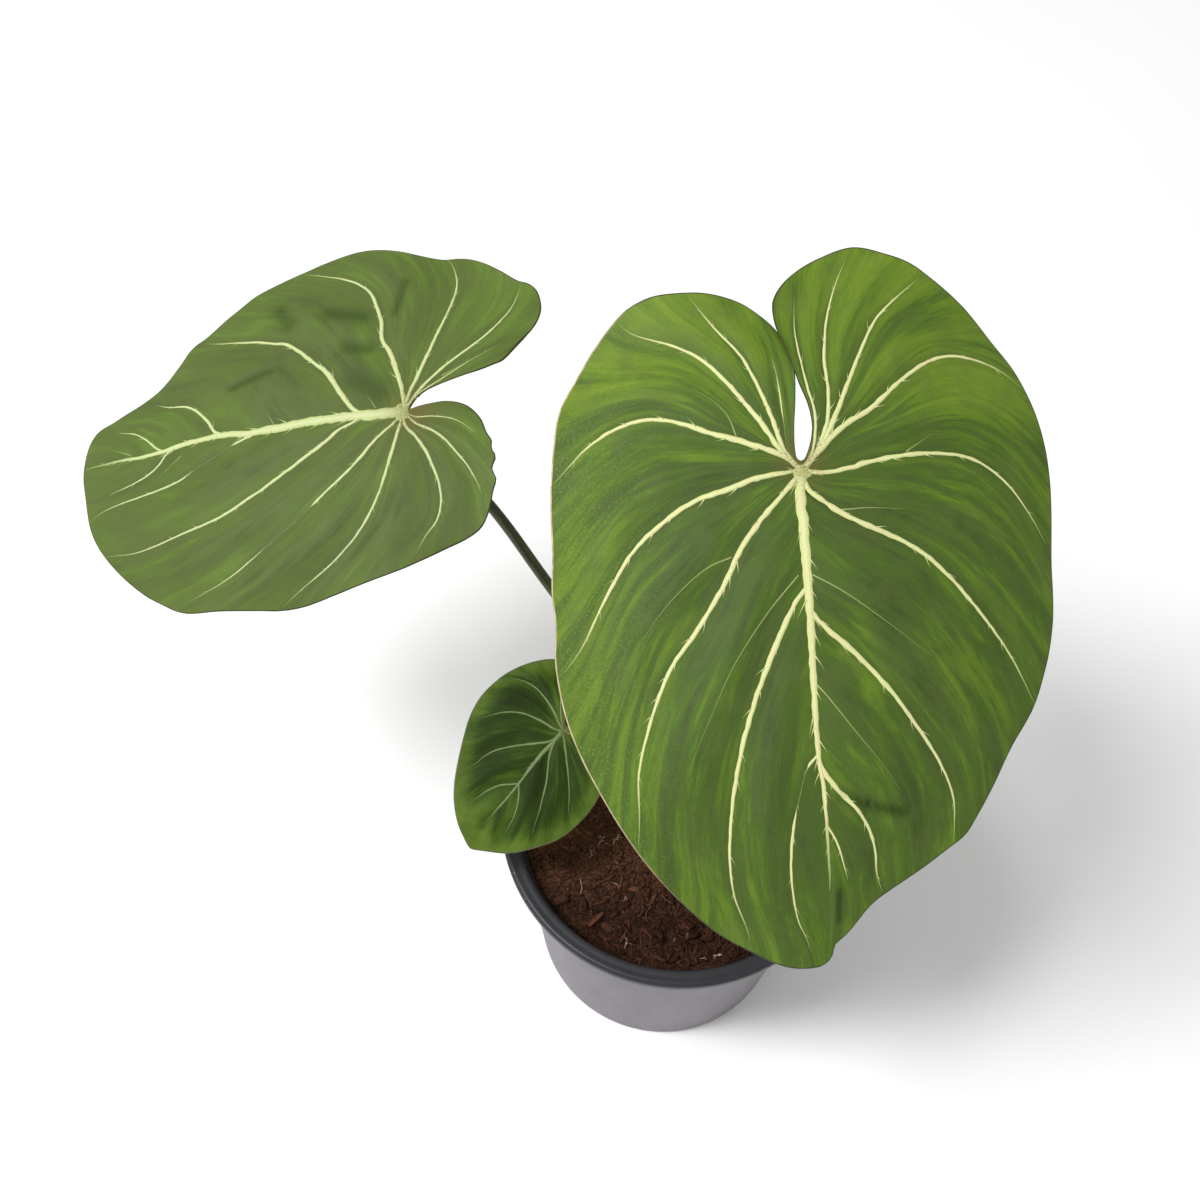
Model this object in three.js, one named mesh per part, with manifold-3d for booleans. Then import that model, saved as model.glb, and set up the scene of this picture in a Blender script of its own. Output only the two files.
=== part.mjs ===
// A potted zebra philodendron gloriosum: a round nursery pot of soil, a creeping rhizome on it,
// and three heart-shaped leaves, each a waved blade with a raised net of pale veins on a stalk.
// Millimetres, +Z up. The origin is the centre of the pot's base, on the floor.

import * as THREE from 'three';
import { mergeVertices } from 'three/addons/utils/BufferGeometryUtils.js';
import Module from 'manifold-3d';

const wasm = await Module();
wasm.setup();

// Driving dimensions of the pot and its soil
const CLEARANCE = 0.3;
const POT_HEIGHT = 113;
const RIM_RADIUS = 66;
const RIM_INNER_RADIUS = 59.6;
const COLLAR_HEIGHT = 7.5;
const BODY_TOP_RADIUS = 59.4;
const BASE_RADIUS = 51;
const WALL = 1.8;
const EDGE = 1;
const INNER_BEVEL = 2;
const FLOOR_TOP = 3.6;
const FOOT_RECESS = 1.5;
const CENTRE_PAD_RADIUS = 18;
const FOOT_RING_INNER_RADIUS = 45;
const POT_SEGMENTS = 48;
const DRAIN_HOLES = 6;
const DRAIN_RADIUS = 4.5;
const DRAIN_CIRCLE = 31;
const DRAIN_SIDES = 16;
const SOIL_HEIGHT = 103.5;
const SOIL_DOME = 1.5;
const SOIL_CRUMB = 0.9;
const SOIL_EDGE_DROP = 2;
const SOIL_RINGS = 6;

// Driving dimensions of the rhizome
const RHIZOME_RADIUS = 7.5;
const RHIZOME_SIDES = 12;
const RHIZOME_STEPS = 22;
const RHIZOME_ROUTE = [
  [-19, 5, 105], [-7, 12.5, 106], [5, 20, 106.5], [18, 29.5, 107], [27, 37, 109], [31, 42, 114],
];
const SCAR_COUNT = 6;
const SCAR_DEPTH = 0.5;
const BLUNT_END = 0.6;
const BLUNT_RISE = 7;
const BUD_START = 0.7;
const BUD_TIP = 0.09;
const SOCKET_LENGTH = 15;
const SOCKET_SIDES = 16;
const ROOTS = [
  [[-12, 9, 102], [-14, 16, 99], [-15, 20, 88]],
  [[0, 15, 101], [4, 7, 99], [5, 3, 86]],
  [[13, 26, 101], [8, 33, 99], [6, 36, 87]],
  [[24, 34, 102], [31, 28, 100], [34, 25, 89]],
];
const ROOT_BASE_RADIUS = 1.4;
const ROOT_TIP_RADIUS = 0.7;
const ROOT_SIDES = 6;
const ROOT_STEPS = 6;

// Driving dimensions of the leaves
const BLADE_THICKNESS = 0.8;
const VEIN_GAP = 0.45;
const VEIN_LEAST_HEIGHT = 0.3;
const VEIN_HEIGHT_PER_WIDTH = 0.25;
const PANEL_BULGE = 0.055;
const SHIFT_POWER = 3;
const WAVE_POWER = 3;
const WAVE_REACH = 40;
const NOTCH_COLUMNS = 2;
const RAY_SAMPLES = 500;

// A leaf's outline and veins are points on its flattened blade: the first number runs from the
// stalk's joint towards the tip, the second across, and the outline goes round from the notch.
// A vein starts on the midrib at from, passes through its points and ends on the margin. It is
// drawn from its root width down to a common end width, and fades out at the fraction shown of
// its length. The tip line, which isn't drawn, carries the midrib on to the tip.
const VEIN_END_WIDTH = 0.8;
const vein = (from, width, shown, points) => ({ from, width, shown, points });
const tipLine = (from, points) => ({ from, width: 0, shown: 0, points });

const LARGE_LEAF = {
  joint: [22.6, 30.1, 290],
  tip: [34.1, -89.7, 218],
  bank: 0,
  arch: 8,
  fall: 0.0029,
  wave: 1.3,
  waves: 11,
  raySpacing: 8.5,
  steps: 9,
  spineSteps: 13,
  outline: [
    [-2.5, 0], [-6.4, -1.6], [-18, -1.1], [-31, -0.9], [-37, -2.6], [-42, -5], [-46, -8.3],
    [-50.4, -14.4], [-53.3, -23], [-53.9, -31], [-53.2, -40], [-48.5, -49], [-40, -56.2], [-30, -62.6],
    [-20, -68], [-10, -69.9], [5, -71.3], [33, -71.8], [52, -71.5], [70, -68.6], [80, -65],
    [100, -54.5], [120, -39.4], [130, -28.8], [136.2, -18.4], [140.3, -9.4], [141, -3], [140, 1.9],
    [134.6, 4.6], [131.6, 8.1], [123.4, 15.6], [114, 30], [104.7, 43.1], [90.3, 53.1], [70, 66.2],
    [60.6, 69.7], [45, 73.6], [30, 75.3], [10, 77], [-4.5, 76.4], [-18, 73.8], [-29.5, 69.4],
    [-48.9, 53.8], [-58, 43.1], [-65, 30], [-67.1, 20.5], [-63.6, 10], [-59.2, 2.5], [-54.5, -2.5],
    [-50, -4.7], [-45, -4.2], [-41, -2.4], [-36, -0.4], [-31, 0.9], [-25, 1.8], [-17, 3.9], [-10, 3.6],
  ],
  midrib: [
    [0, 0], [6, -0.9], [20, -0.7], [40, -0.3], [60, -0.2], [75, 0.2], [83, 0.9], [90, 1.9], [100, 2.5],
    [116, 3.3],
  ],
  midribWidth: 3.4,
  veins: [
    vein(0, 1, 0.6, [[-4.7, -3.3], [-16, -4.4], [-25, -5], [-33, -6.3], [-49, -12.5]]),
    vein(0, 1.7, 0.9, [
      [-4.8, -4.1], [-9.5, -5.9], [-18, -8.4], [-27, -11.9], [-34.5, -15.6], [-43.3, -22.8],
      [-53.5, -30],
    ]),
    vein(0, 2, 0.9, [
      [-4.4, -4.8], [-12, -9.4], [-19.2, -14.4], [-27.3, -20.6], [-33.8, -26.9], [-37.8, -33.8],
      [-42.6, -46], [-47, -51],
    ]),
    vein(0, 2.2, 0.92, [
      [-4.5, -5.6], [-8.2, -15], [-11.9, -26.2], [-15, -34], [-16.4, -42.5], [-14.9, -50],
      [-9.8, -59.4], [2, -70.8],
    ]),
    vein(0, 2.2, 0.9, [
      [0.8, -5.5], [1.8, -12.5], [5, -21.5], [8.3, -31.3], [13.9, -40], [22, -48.8], [35.2, -57],
      [49.4, -64.4], [58, -71],
    ]),
    vein(0, 2.1, 0.92, [
      [4.9, -4.1], [13.3, -11.9], [21.8, -18.4], [33, -24.4], [44.7, -31.9], [55, -39.4], [70, -45.6],
      [85, -49.3], [96, -49.4], [107, -49.8],
    ]),
    vein(33, 2, 0.9, [
      [37.5, -4.1], [50, -10.6], [63.8, -16.3], [78.8, -20.9], [95, -23.8], [110, -24.6], [120, -23.4],
      [129.4, -20], [136, -18.5],
    ]),
    vein(80, 1.4, 0.85, [
      [84, -2.6], [92, -5], [98.8, -6.6], [108, -7.6], [117.5, -7.4], [127, -5.8], [133, -3.2],
      [141, -1.5],
    ]),
    tipLine(116, [[128, 2.6], [140, 1.9]]),
    vein(100, 1, 0.5, [[105, 5.3], [111.3, 7.2], [118, 8.8], [128.5, 10.5]]),
    vein(82, 1.7, 0.9, [
      [86.9, 3.1], [92, 7.5], [96, 11.3], [102, 14.7], [108, 16.4], [114.4, 16.9], [121, 18.8],
    ]),
    vein(40, 2, 0.92, [
      [44.7, 3.8], [52.8, 12.5], [63, 21.6], [73, 28.8], [84, 35.6], [94.4, 39.5], [107.5, 39.5],
    ]),
    vein(0, 2.1, 0.92, [
      [5.5, 1.3], [9.3, 5.6], [13.6, 12], [18.3, 22], [23.9, 32.5], [31.1, 40.6], [42, 50], [55, 59.4],
      [69, 66.5],
    ]),
    vein(0, 2, 0.88, [
      [0.8, 4], [0.5, 10], [-2, 20], [-4, 33], [-4.2, 43], [-2.5, 52], [3.6, 61.3], [12.4, 68.1],
      [26, 75.6],
    ]),
    vein(0, 2.2, 0.9, [
      [-5, 5], [-12.3, 12.5], [-17.6, 21.3], [-26, 31.3], [-31, 38.8], [-33.6, 46.5], [-32.6, 56],
      [-28.9, 65], [-23, 72.3],
    ]),
    vein(0, 1.9, 0.9, [
      [-4.5, 4.4], [-13.9, 10], [-23.3, 14.4], [-33.9, 19.4], [-44.2, 25], [-51.1, 32], [-59, 42],
    ]),
    vein(0, 1.6, 0.88, [
      [-4.8, 4.2], [-14, 8.3], [-22, 9.3], [-33, 9], [-44.5, 10.6], [-55, 14], [-67, 20],
    ]),
    vein(0, 1.2, 0.8, [
      [-4.2, 2.9], [-9.5, 4.4], [-16.4, 4.9], [-24.5, 3.3], [-32, 2], [-41, 0.9], [-49, 1.3],
      [-59.5, 2],
    ]),
  ],
};

const LEFT_LEAF = {
  joint: [-99.1, 75, 250],
  tip: [-215, 77.7, 205],
  bank: -14,
  arch: 7,
  fall: 0.0022,
  wave: 1.3,
  waves: 9,
  raySpacing: 8.5,
  steps: 8,
  spineSteps: 12,
  outline: [
    [-2.2, -1.2], [-7.3, -7.4], [-14.2, -10], [-23.5, -13], [-31, -16.6], [-38, -25.5], [-42.6, -33.5],
    [-41.3, -42], [-35, -46.5], [-28, -52.3], [-22, -56.7], [-12.5, -60.2], [-5, -60.7], [7, -64.4],
    [18, -66], [26, -65.5], [36, -63.5], [51.5, -57.5], [63, -48.1], [70.8, -41.5], [81.5, -36],
    [93, -23], [99, -18.6], [105.5, -15.7], [115.5, -12.9], [121.5, -9.2], [124.3, 0], [123, 11],
    [117, 26], [110.8, 34.8], [103.8, 42.5], [95.4, 49.5], [83, 56.4], [77, 58.3], [63, 59.6],
    [44, 61], [36.5, 60.5], [24, 57.9], [3.5, 52.5], [-12, 45.7], [-23, 40], [-27.5, 31],
    [-29.1, 24.5], [-29.2, 17], [-27, 9.5], [-20.8, -0.2], [-13.5, -2.9], [-7, -2.2],
  ],
  midrib: [
    [0, 0], [10, 0.1], [20, 0], [30, 0.4], [40, 1], [50, 1.4], [55, 1.4], [60, 0.6], [65, 0.2],
    [70, 0.4], [78, 0.9], [85, 1.6], [92, 2], [98, 2], [104, 1.4], [115, 0.8],
  ],
  midribWidth: 4,
  veins: [
    vein(0, 0.7, 0.7, [[-4, -5.5], [-12, -11], [-19.2, -15.9], [-27.7, -21], [-39, -28]]),
    vein(0, 1.4, 0.92, [
      [-5, -7.5], [-12.3, -15.2], [-18.1, -19.8], [-25.4, -25.9], [-30, -30.7], [-33.5, -35.5],
      [-35.6, -41], [-36.5, -46],
    ]),
    vein(0, 1.7, 0.93, [
      [-1.2, -5.2], [-4.5, -13.6], [-8.8, -25.9], [-11.9, -35.2], [-14.1, -44.4], [-13.8, -50.5],
      [-11.2, -57.5], [-9, -60],
    ]),
    vein(0, 1.7, 0.9, [
      [0.4, -5.9], [2.9, -15.2], [5.4, -22.1], [8.4, -27.5], [9.4, -34.5], [12.2, -42.1],
      [14.8, -47.5], [19.2, -51.7], [25.2, -55.2], [32, -57.7], [43, -61.3],
    ]),
    vein(12, 1.9, 0.88, [
      [14.8, -1.3], [16.8, -2.7], [20.4, -7.5], [26.2, -16.7], [31.2, -21.3], [36.7, -26.3],
      [42.7, -30.5], [46.9, -31.5], [53.8, -33.4], [60.8, -34.5], [68.5, -35.7], [78, -38],
    ]),
    vein(62, 1.6, 0.78, [
      [66.3, -1.3], [70, -6.3], [75, -10.9], [77.5, -12.5], [80.4, -13.6], [86.9, -14.7], [98, -19],
    ]),
    vein(87, 1, 0.7, [[90.2, 0.1], [94.4, -3.6], [99.2, -6.8], [101.9, -8], [108.5, -9.5], [115, -13]]),
    tipLine(115, [[124.3, 0.3]]),
    vein(82, 1.1, 0.65, [
      [85.4, 2.9], [89.1, 6.8], [94.2, 9.5], [101.5, 11.4], [110, 12.5], [122.4, 13.5],
    ]),
    vein(48, 1.3, 0.92, [
      [52.7, 2.5], [58.8, 4.6], [66, 8], [73.2, 11], [78.8, 13.6], [85.4, 15.1], [96.9, 16.4],
      [112.7, 18.3], [119.6, 20.8],
    ]),
    vein(14, 1.6, 0.94, [
      [16.5, 2.2], [21, 4.2], [25.4, 7.9], [33.3, 13.1], [42.3, 18.7], [51.5, 23.8], [62.3, 28.7],
      [76.9, 32.2], [89.2, 34.8], [97.7, 35.8], [110.8, 34.8],
    ]),
    vein(0, 1.3, 0.88, [
      [2.7, 3.3], [7.9, 7.9], [15.5, 16.4], [23.7, 23.7], [31.9, 30.6], [39.4, 36], [49.1, 42.2],
      [58.5, 47.9], [66.2, 51.4], [75.4, 54.1], [83, 56.4],
    ]),
    vein(0, 1.3, 0.9, [
      [1.2, 4.8], [4.2, 15.6], [8.1, 27.2], [14.6, 38.7], [20.4, 44.8], [26.5, 49.8], [35.8, 55.6],
      [44, 61],
    ]),
    vein(0, 1.5, 0.85, [
      [-0.6, 4.8], [-3.8, 8.7], [-6.9, 13.3], [-9.5, 19.5], [-11.4, 25.6], [-11.8, 31.8],
      [-10.2, 37.2], [-6.5, 41.8], [-1, 50.8],
    ]),
    vein(0, 1.2, 0.8, [
      [-4.2, 4.5], [-7.3, 6], [-12.1, 9.3], [-16.7, 14.8], [-20.5, 20.2], [-23.8, 27.2], [-25.5, 36.5],
    ]),
    vein(0, 0.8, 0.75, [[-3.9, 2], [-9.4, 2.3], [-16, 3.8], [-22, 8], [-28.5, 14]]),
  ],
};

const SMALL_LEAF = {
  joint: [-43.5, 10.3, 156],
  tip: [-73.5, -26.9, 134],
  bank: -15,
  arch: 2.5,
  fall: 0.003,
  wave: 0.6,
  waves: 7,
  raySpacing: 5,
  steps: 6,
  spineSteps: 6,
  outline: [
    [-2, 0], [-5, -3], [-11, -4.5], [-17, -7.5], [-20, -13], [-18, -18], [-14, -22.4], [-8, -26.5],
    [-0.5, -29.5], [9, -30.6], [17, -29], [22, -27], [30.7, -23.1], [34.8, -21], [38.5, -18.8],
    [41.6, -16.5], [44.4, -14], [46.9, -11.3], [49.1, -8.4], [50.8, -5.2], [52.2, -2.5], [52.7, -0.4],
    [51.9, 1.2], [50, 4.4], [46.2, 10.3], [42.6, 13.9], [36.7, 18.4], [31.7, 21.6], [25.8, 23.6],
    [17, 24.6], [9.6, 24], [0, 22.5], [-9, 19.5], [-15, 14.5], [-16.5, 9], [-13, 4.5], [-7, 2.3],
  ],
  midrib: [[0, 0], [7, -0.6], [11, -1], [28, -1], [41, -1.8]],
  midribWidth: 1.6,
  veins: [
    vein(0, 0.9, 0.7, [[-5, -5], [-10, -9], [-18.5, -17]]),
    vein(0, 1.1, 0.86, [
      [-1.3, -2.9], [-3.7, -7.5], [-5.3, -12.5], [-6, -16.8], [-5.5, -21.1], [-3.8, -25.2],
      [-0.5, -29.5],
    ]),
    vein(0, 1.1, 0.86, [
      [1.1, -2.5], [2.1, -9.3], [4.3, -16.1], [8.3, -21.3], [13.9, -25.6], [17, -29],
    ]),
    vein(3, 1.1, 0.86, [
      [6.1, -1.8], [9.1, -4.7], [12.6, -8.4], [16, -11.5], [19.7, -14.5], [23.9, -16.5], [28.7, -17.6],
      [33.5, -21.8],
    ]),
    vein(24, 0.9, 0.75, [[25.6, -2.7], [28.2, -5.6], [32.1, -7.9], [36.9, -9.5], [46, -12.4]]),
    tipLine(41, [[52.7, -0.6]]),
    vein(24, 0.9, 0.75, [[25.7, 0.5], [29, 2.7], [32.8, 4.4], [37.1, 5.4], [41.6, 6.2], [48.3, 7.5]]),
    vein(0, 1, 0.85, [
      [5.3, 0.2], [9.3, 1.4], [13.5, 3.9], [17.5, 6.4], [22.1, 8.5], [26.9, 10.6], [33.5, 13],
      [40, 16],
    ]),
    vein(0, 1, 0.8, [[1.3, 1.2], [4.7, 4.8], [10.3, 10.3], [15.6, 15], [19.8, 18], [27.5, 23.2]]),
    vein(0, 0.9, 0.7, [[-1, 3.5], [-2, 9], [-0.5, 15], [4, 23.3]]),
    vein(0, 0.9, 0.7, [[-4, 3.2], [-8, 6.5], [-11, 10.5], [-13.5, 16]]),
  ],
};

// Each stalk's route from its foot in the rhizome up to just under its blade's joint
const STALKS = {
  large: {
    leaf: LARGE_LEAF,
    route: [[20, 31, 109.5], [20, 34, 135], [21, 38, 200], [22, 39, 262]],
    foot: 4.2,
    waist: 2.9,
    top: 2.5,
  },
  left: {
    leaf: LEFT_LEAF,
    route: [[6, 20, 109.5], [-6, 26, 125], [-50, 52, 184], [-71.8, 65.7, 213.5]],
    foot: 3.4,
    waist: 2.1,
    top: 1.8,
  },
  small: {
    leaf: SMALL_LEAF,
    route: [[-9, 10.5, 109.5], [-15, 12, 119], [-30, 14.5, 139]],
    foot: 2.6,
    waist: 1.5,
    top: 1.3,
  },
};
const STALK_SIDES = 10;
const STALK_STEPS = 16;
const SHEATH_LENGTH = 0.16;
const NECK_LENGTH = 9;

const MATERIALS = {
  pot: new THREE.MeshStandardMaterial({ color: 0x55555a, roughness: 0.45, metalness: 0 }),
  soil: new THREE.MeshStandardMaterial({ color: 0x36241a, roughness: 0.95, metalness: 0 }),
  rhizome: new THREE.MeshStandardMaterial({ color: 0x59603a, roughness: 0.7, metalness: 0 }),
  stalk: new THREE.MeshStandardMaterial({ color: 0x383e1e, roughness: 0.55, metalness: 0 }),
  blade: new THREE.MeshStandardMaterial({ color: 0x587036, roughness: 0.5, metalness: 0 }),
  smallBlade: new THREE.MeshStandardMaterial({ color: 0x384824, roughness: 0.5, metalness: 0 }),
  veins: new THREE.MeshStandardMaterial({ color: 0xe6e6b4, roughness: 0.5, metalness: 0 }),
  smallVeins: new THREE.MeshStandardMaterial({ color: 0x7f8c5f, roughness: 0.5, metalness: 0 }),
};

// Solids

function toSolid(geometry) {
  const bare = geometry.clone();
  bare.deleteAttribute('normal');
  bare.deleteAttribute('uv');
  const merged = mergeVertices(bare, 1e-4);
  const vertProperties = new Float32Array(merged.attributes.position.array);
  const triVerts = new Uint32Array(merged.index.array);
  return new wasm.Manifold(new wasm.Mesh({ numProp: 3, vertProperties, triVerts }));
}

function toGeometry(solid) {
  const mesh = solid.getMesh();
  return meshGeometry(Array.from(mesh.vertProperties), Array.from(mesh.triVerts));
}

function meshGeometry(positions, faces) {
  const geometry = new THREE.BufferGeometry();
  geometry.setAttribute('position', new THREE.Float32BufferAttribute(positions, 3));
  geometry.setIndex(faces);
  geometry.computeVertexNormals();
  return geometry;
}

function named(name, geometry, material) {
  const mesh = new THREE.Mesh(geometry, material);
  mesh.name = name;
  return mesh;
}

function vector(point) {
  return new THREE.Vector3(...point);
}

function smoothCurve(points, closed = false) {
  const knots = points.map(([x, y, z = 0]) => new THREE.Vector3(x, y, z));
  const curve = new THREE.CatmullRomCurve3(knots, closed);
  curve.arcLengthDivisions = RAY_SAMPLES;
  return curve;
}

// A closed round tube along a curve, with its radius at each fraction of the curve's length
function taperedTube(curve, radiusAt, sides, steps) {
  const frames = curve.computeFrenetFrames(steps, false);
  const positions = [];
  const faces = [];
  for (let step = 0; step <= steps; step += 1) {
    const centre = curve.getPointAt(step / steps);
    const radius = radiusAt(step / steps);
    for (let side = 0; side < sides; side += 1) {
      const angle = (2 * Math.PI * side) / sides;
      const point = centre.clone();
      point.addScaledVector(frames.normals[step], radius * Math.cos(angle));
      point.addScaledVector(frames.binormals[step], radius * Math.sin(angle));
      positions.push(point.x, point.y, point.z);
    }
  }
  for (let step = 0; step < steps; step += 1) {
    for (let side = 0; side < sides; side += 1) {
      const next = (side + 1) % sides;
      const a = step * sides + side;
      const b = step * sides + next;
      faces.push(a, b, b + sides, a, b + sides, a + sides);
    }
  }
  for (let side = 1; side < sides - 1; side += 1) {
    const last = steps * sides;
    faces.push(0, side + 1, side, last, last + side, last + side + 1);
  }
  return meshGeometry(positions, faces);
}

// Pot

function wallRadius(height) {
  const rise = height / (POT_HEIGHT - COLLAR_HEIGHT);
  return BASE_RADIUS + (BODY_TOP_RADIUS - BASE_RADIUS) * Math.min(rise, 1);
}

function potGeometry() {
  const collarFoot = POT_HEIGHT - COLLAR_HEIGHT;
  const profile = [
    [0, 0], [CENTRE_PAD_RADIUS, 0], [CENTRE_PAD_RADIUS + FOOT_RECESS, FOOT_RECESS],
    [FOOT_RING_INNER_RADIUS - FOOT_RECESS, FOOT_RECESS], [FOOT_RING_INNER_RADIUS, 0],
    [BASE_RADIUS - EDGE, 0], [BASE_RADIUS, EDGE], [wallRadius(collarFoot), collarFoot],
    [RIM_RADIUS - EDGE, collarFoot], [RIM_RADIUS - EDGE / 2, collarFoot + EDGE / 2],
    [RIM_RADIUS, POT_HEIGHT - EDGE], [RIM_RADIUS - EDGE, POT_HEIGHT],
    [RIM_INNER_RADIUS + EDGE, POT_HEIGHT], [RIM_INNER_RADIUS, POT_HEIGHT - EDGE],
    [wallRadius(SOIL_HEIGHT) - WALL, SOIL_HEIGHT + EDGE],
    [BASE_RADIUS - WALL, FLOOR_TOP + INNER_BEVEL], [BASE_RADIUS - WALL - INNER_BEVEL, FLOOR_TOP],
    [0, FLOOR_TOP],
  ];
  const shell = new THREE.LatheGeometry(profile.map(([r, z]) => new THREE.Vector2(r, z)), POT_SEGMENTS);
  shell.rotateX(Math.PI / 2);
  let solid = toSolid(shell);
  for (let hole = 0; hole < DRAIN_HOLES; hole += 1) {
    const angle = (2 * Math.PI * (hole + 0.5)) / DRAIN_HOLES;
    const drill = new THREE.CylinderGeometry(DRAIN_RADIUS, DRAIN_RADIUS, 4 * FLOOR_TOP, DRAIN_SIDES);
    drill.rotateX(Math.PI / 2);
    drill.translate(DRAIN_CIRCLE * Math.cos(angle), DRAIN_CIRCLE * Math.sin(angle), 0);
    solid = solid.subtract(toSolid(drill));
  }
  return toGeometry(solid);
}

// Rhizome, its roots and the sockets for the stalks

const rhizomeCurve = smoothCurve(RHIZOME_ROUTE);

function rhizomeRadius(fraction) {
  const scars = SCAR_DEPTH * Math.cos(2 * Math.PI * SCAR_COUNT * fraction);
  const blunt = Math.min(1, BLUNT_END + BLUNT_RISE * fraction);
  const bud = Math.sqrt(Math.min(1, (1 - fraction) / (1 - BUD_START)));
  return (RHIZOME_RADIUS + scars) * blunt * Math.max(BUD_TIP, bud);
}

function rhizomeSolid(extra) {
  const stem = taperedTube(rhizomeCurve, (f) => rhizomeRadius(f) + extra, RHIZOME_SIDES, RHIZOME_STEPS);
  let solid = toSolid(stem);
  const rootRadius = (f) => THREE.MathUtils.lerp(ROOT_BASE_RADIUS, ROOT_TIP_RADIUS, f) + extra;
  for (const root of ROOTS) {
    const tube = taperedTube(smoothCurve(root), rootRadius, ROOT_SIDES, ROOT_STEPS);
    solid = solid.add(toSolid(tube));
  }
  return solid;
}

function socket(stalk) {
  const [foot, next] = [vector(stalk.route[0]), vector(stalk.route[1])];
  const direction = next.clone().sub(foot).normalize();
  const start = foot.clone().addScaledVector(direction, -CLEARANCE);
  const end = foot.clone().addScaledVector(direction, SOCKET_LENGTH);
  const bore = new THREE.LineCurve3(start, end);
  return toSolid(taperedTube(bore, () => stalk.foot + 2 * CLEARANCE, SOCKET_SIDES, 1));
}

function rhizomeGeometry() {
  let solid = rhizomeSolid(0);
  for (const stalk of Object.values(STALKS)) {
    solid = solid.subtract(socket(stalk));
  }
  return toGeometry(solid);
}

// Soil

function soilHeight(x, y) {
  const dome = SOIL_DOME * (1 - (x * x + y * y) / (RIM_INNER_RADIUS * RIM_INNER_RADIUS));
  const crumb = Math.sin(0.31 * x + 0.7) * Math.cos(0.27 * y) + 0.6 * Math.sin(0.55 * x - 0.43 * y);
  return SOIL_HEIGHT + dome + SOIL_CRUMB * crumb;
}

function soilGeometry() {
  const positions = [0, 0, soilHeight(0, 0)];
  const faces = [];
  const rings = [];
  const edgeHeight = SOIL_HEIGHT - SOIL_EDGE_DROP;
  for (let ring = 1; ring <= SOIL_RINGS; ring += 1) {
    const radius = ((wallRadius(edgeHeight) - WALL - CLEARANCE) * ring) / SOIL_RINGS;
    rings.push({ radius, height: ring === SOIL_RINGS ? () => edgeHeight : soilHeight });
  }
  const foot = BASE_RADIUS - WALL - CLEARANCE;
  rings.push({ radius: foot, height: () => FLOOR_TOP + INNER_BEVEL + CLEARANCE });
  rings.push({ radius: foot - INNER_BEVEL, height: () => FLOOR_TOP + CLEARANCE });
  for (const ring of rings) {
    for (let segment = 0; segment < POT_SEGMENTS; segment += 1) {
      const angle = (2 * Math.PI * segment) / POT_SEGMENTS;
      const [x, y] = [ring.radius * Math.cos(angle), ring.radius * Math.sin(angle)];
      positions.push(x, y, ring.height(x, y));
    }
  }
  const floorCentre = positions.length / 3;
  positions.push(0, 0, FLOOR_TOP + CLEARANCE);
  for (let segment = 0; segment < POT_SEGMENTS; segment += 1) {
    const next = (segment + 1) % POT_SEGMENTS;
    faces.push(0, 1 + segment, 1 + next);
    for (let ring = 0; ring < rings.length - 1; ring += 1) {
      const a = 1 + ring * POT_SEGMENTS + segment;
      const b = 1 + ring * POT_SEGMENTS + next;
      faces.push(a, a + POT_SEGMENTS, b + POT_SEGMENTS, a, b + POT_SEGMENTS, b);
    }
    const last = 1 + (rings.length - 1) * POT_SEGMENTS;
    faces.push(last + segment, floorCentre, last + next);
  }
  const bed = toSolid(meshGeometry(positions, faces));
  return toGeometry(bed.subtract(rhizomeSolid(1.5 * CLEARANCE)));
}

// Leaves

function leafFrame(leaf) {
  const joint = vector(leaf.joint);
  const along = vector(leaf.tip).sub(joint).normalize();
  const level = new THREE.Vector3(0, 0, 1).cross(along).normalize();
  const up = along.clone().cross(level);
  const bank = THREE.MathUtils.degToRad(leaf.bank);
  const across = level.clone().multiplyScalar(Math.cos(bank)).addScaledVector(up, Math.sin(bank));
  const normal = along.clone().cross(across);
  return new THREE.Matrix4().makeBasis(along, across, normal).setPosition(joint);
}

// The blade's height over its flat outline: arched along the midrib, falling away to both sides
function bladeHeight(leaf, x, y) {
  const length = vector(leaf.tip).distanceTo(vector(leaf.joint));
  const slope = (4 * leaf.arch) / length;
  const arch = x > 0 ? slope * x * (1 - x / length) : slope * x;
  return arch - leaf.fall * y * y;
}

function nearestOnOutline(outline, target) {
  let best = 0;
  let bestDistance = Infinity;
  for (let sample = 0; sample < RAY_SAMPLES; sample += 1) {
    const distance = outline.getPointAt(sample / RAY_SAMPLES).distanceTo(target);
    if (distance < bestDistance) {
      bestDistance = distance;
      best = sample / RAY_SAMPLES;
    }
  }
  return best;
}

// The leaf's main rays: each vein, carried on to the margin, in its order round the outline
function mainRays(leaf, outline, spine) {
  return leaf.veins.map((vein) => {
    const start = vein.from / leaf.midrib.at(-1)[0];
    const root = spine.getPointAt(start);
    const end = vector([...vein.points.at(-1), 0]);
    const turn = nearestOnOutline(outline, end);
    const inner = vein.points.slice(0, -1);
    const curve = smoothCurve([root.toArray(), ...inner, outline.getPointAt(turn).toArray()]);
    return { ...vein, start, turn, curve };
  });
}

// Rays from the midrib to the margin, blended between the veins on either side, with the height
// of the bulge between two veins and of the wave along the margin at each step
function leafRays(leaf) {
  const outline = smoothCurve(leaf.outline, true);
  const spine = smoothCurve(leaf.midrib);
  const mains = mainRays(leaf, outline, spine);
  const perimeter = outline.getLength();
  const rays = [];
  mains.forEach((ray, index) => {
    const next = mains[index + 1] ?? ray;
    const count = Math.max(1, Math.round(((next.turn - ray.turn) * perimeter) / leaf.raySpacing));
    for (let part = 0; part < count; part += 1) {
      rays.push(blendedRay(leaf, outline, spine, ray, next, part / count));
    }
  });
  return { rays, mains, spine, outline };
}

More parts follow.
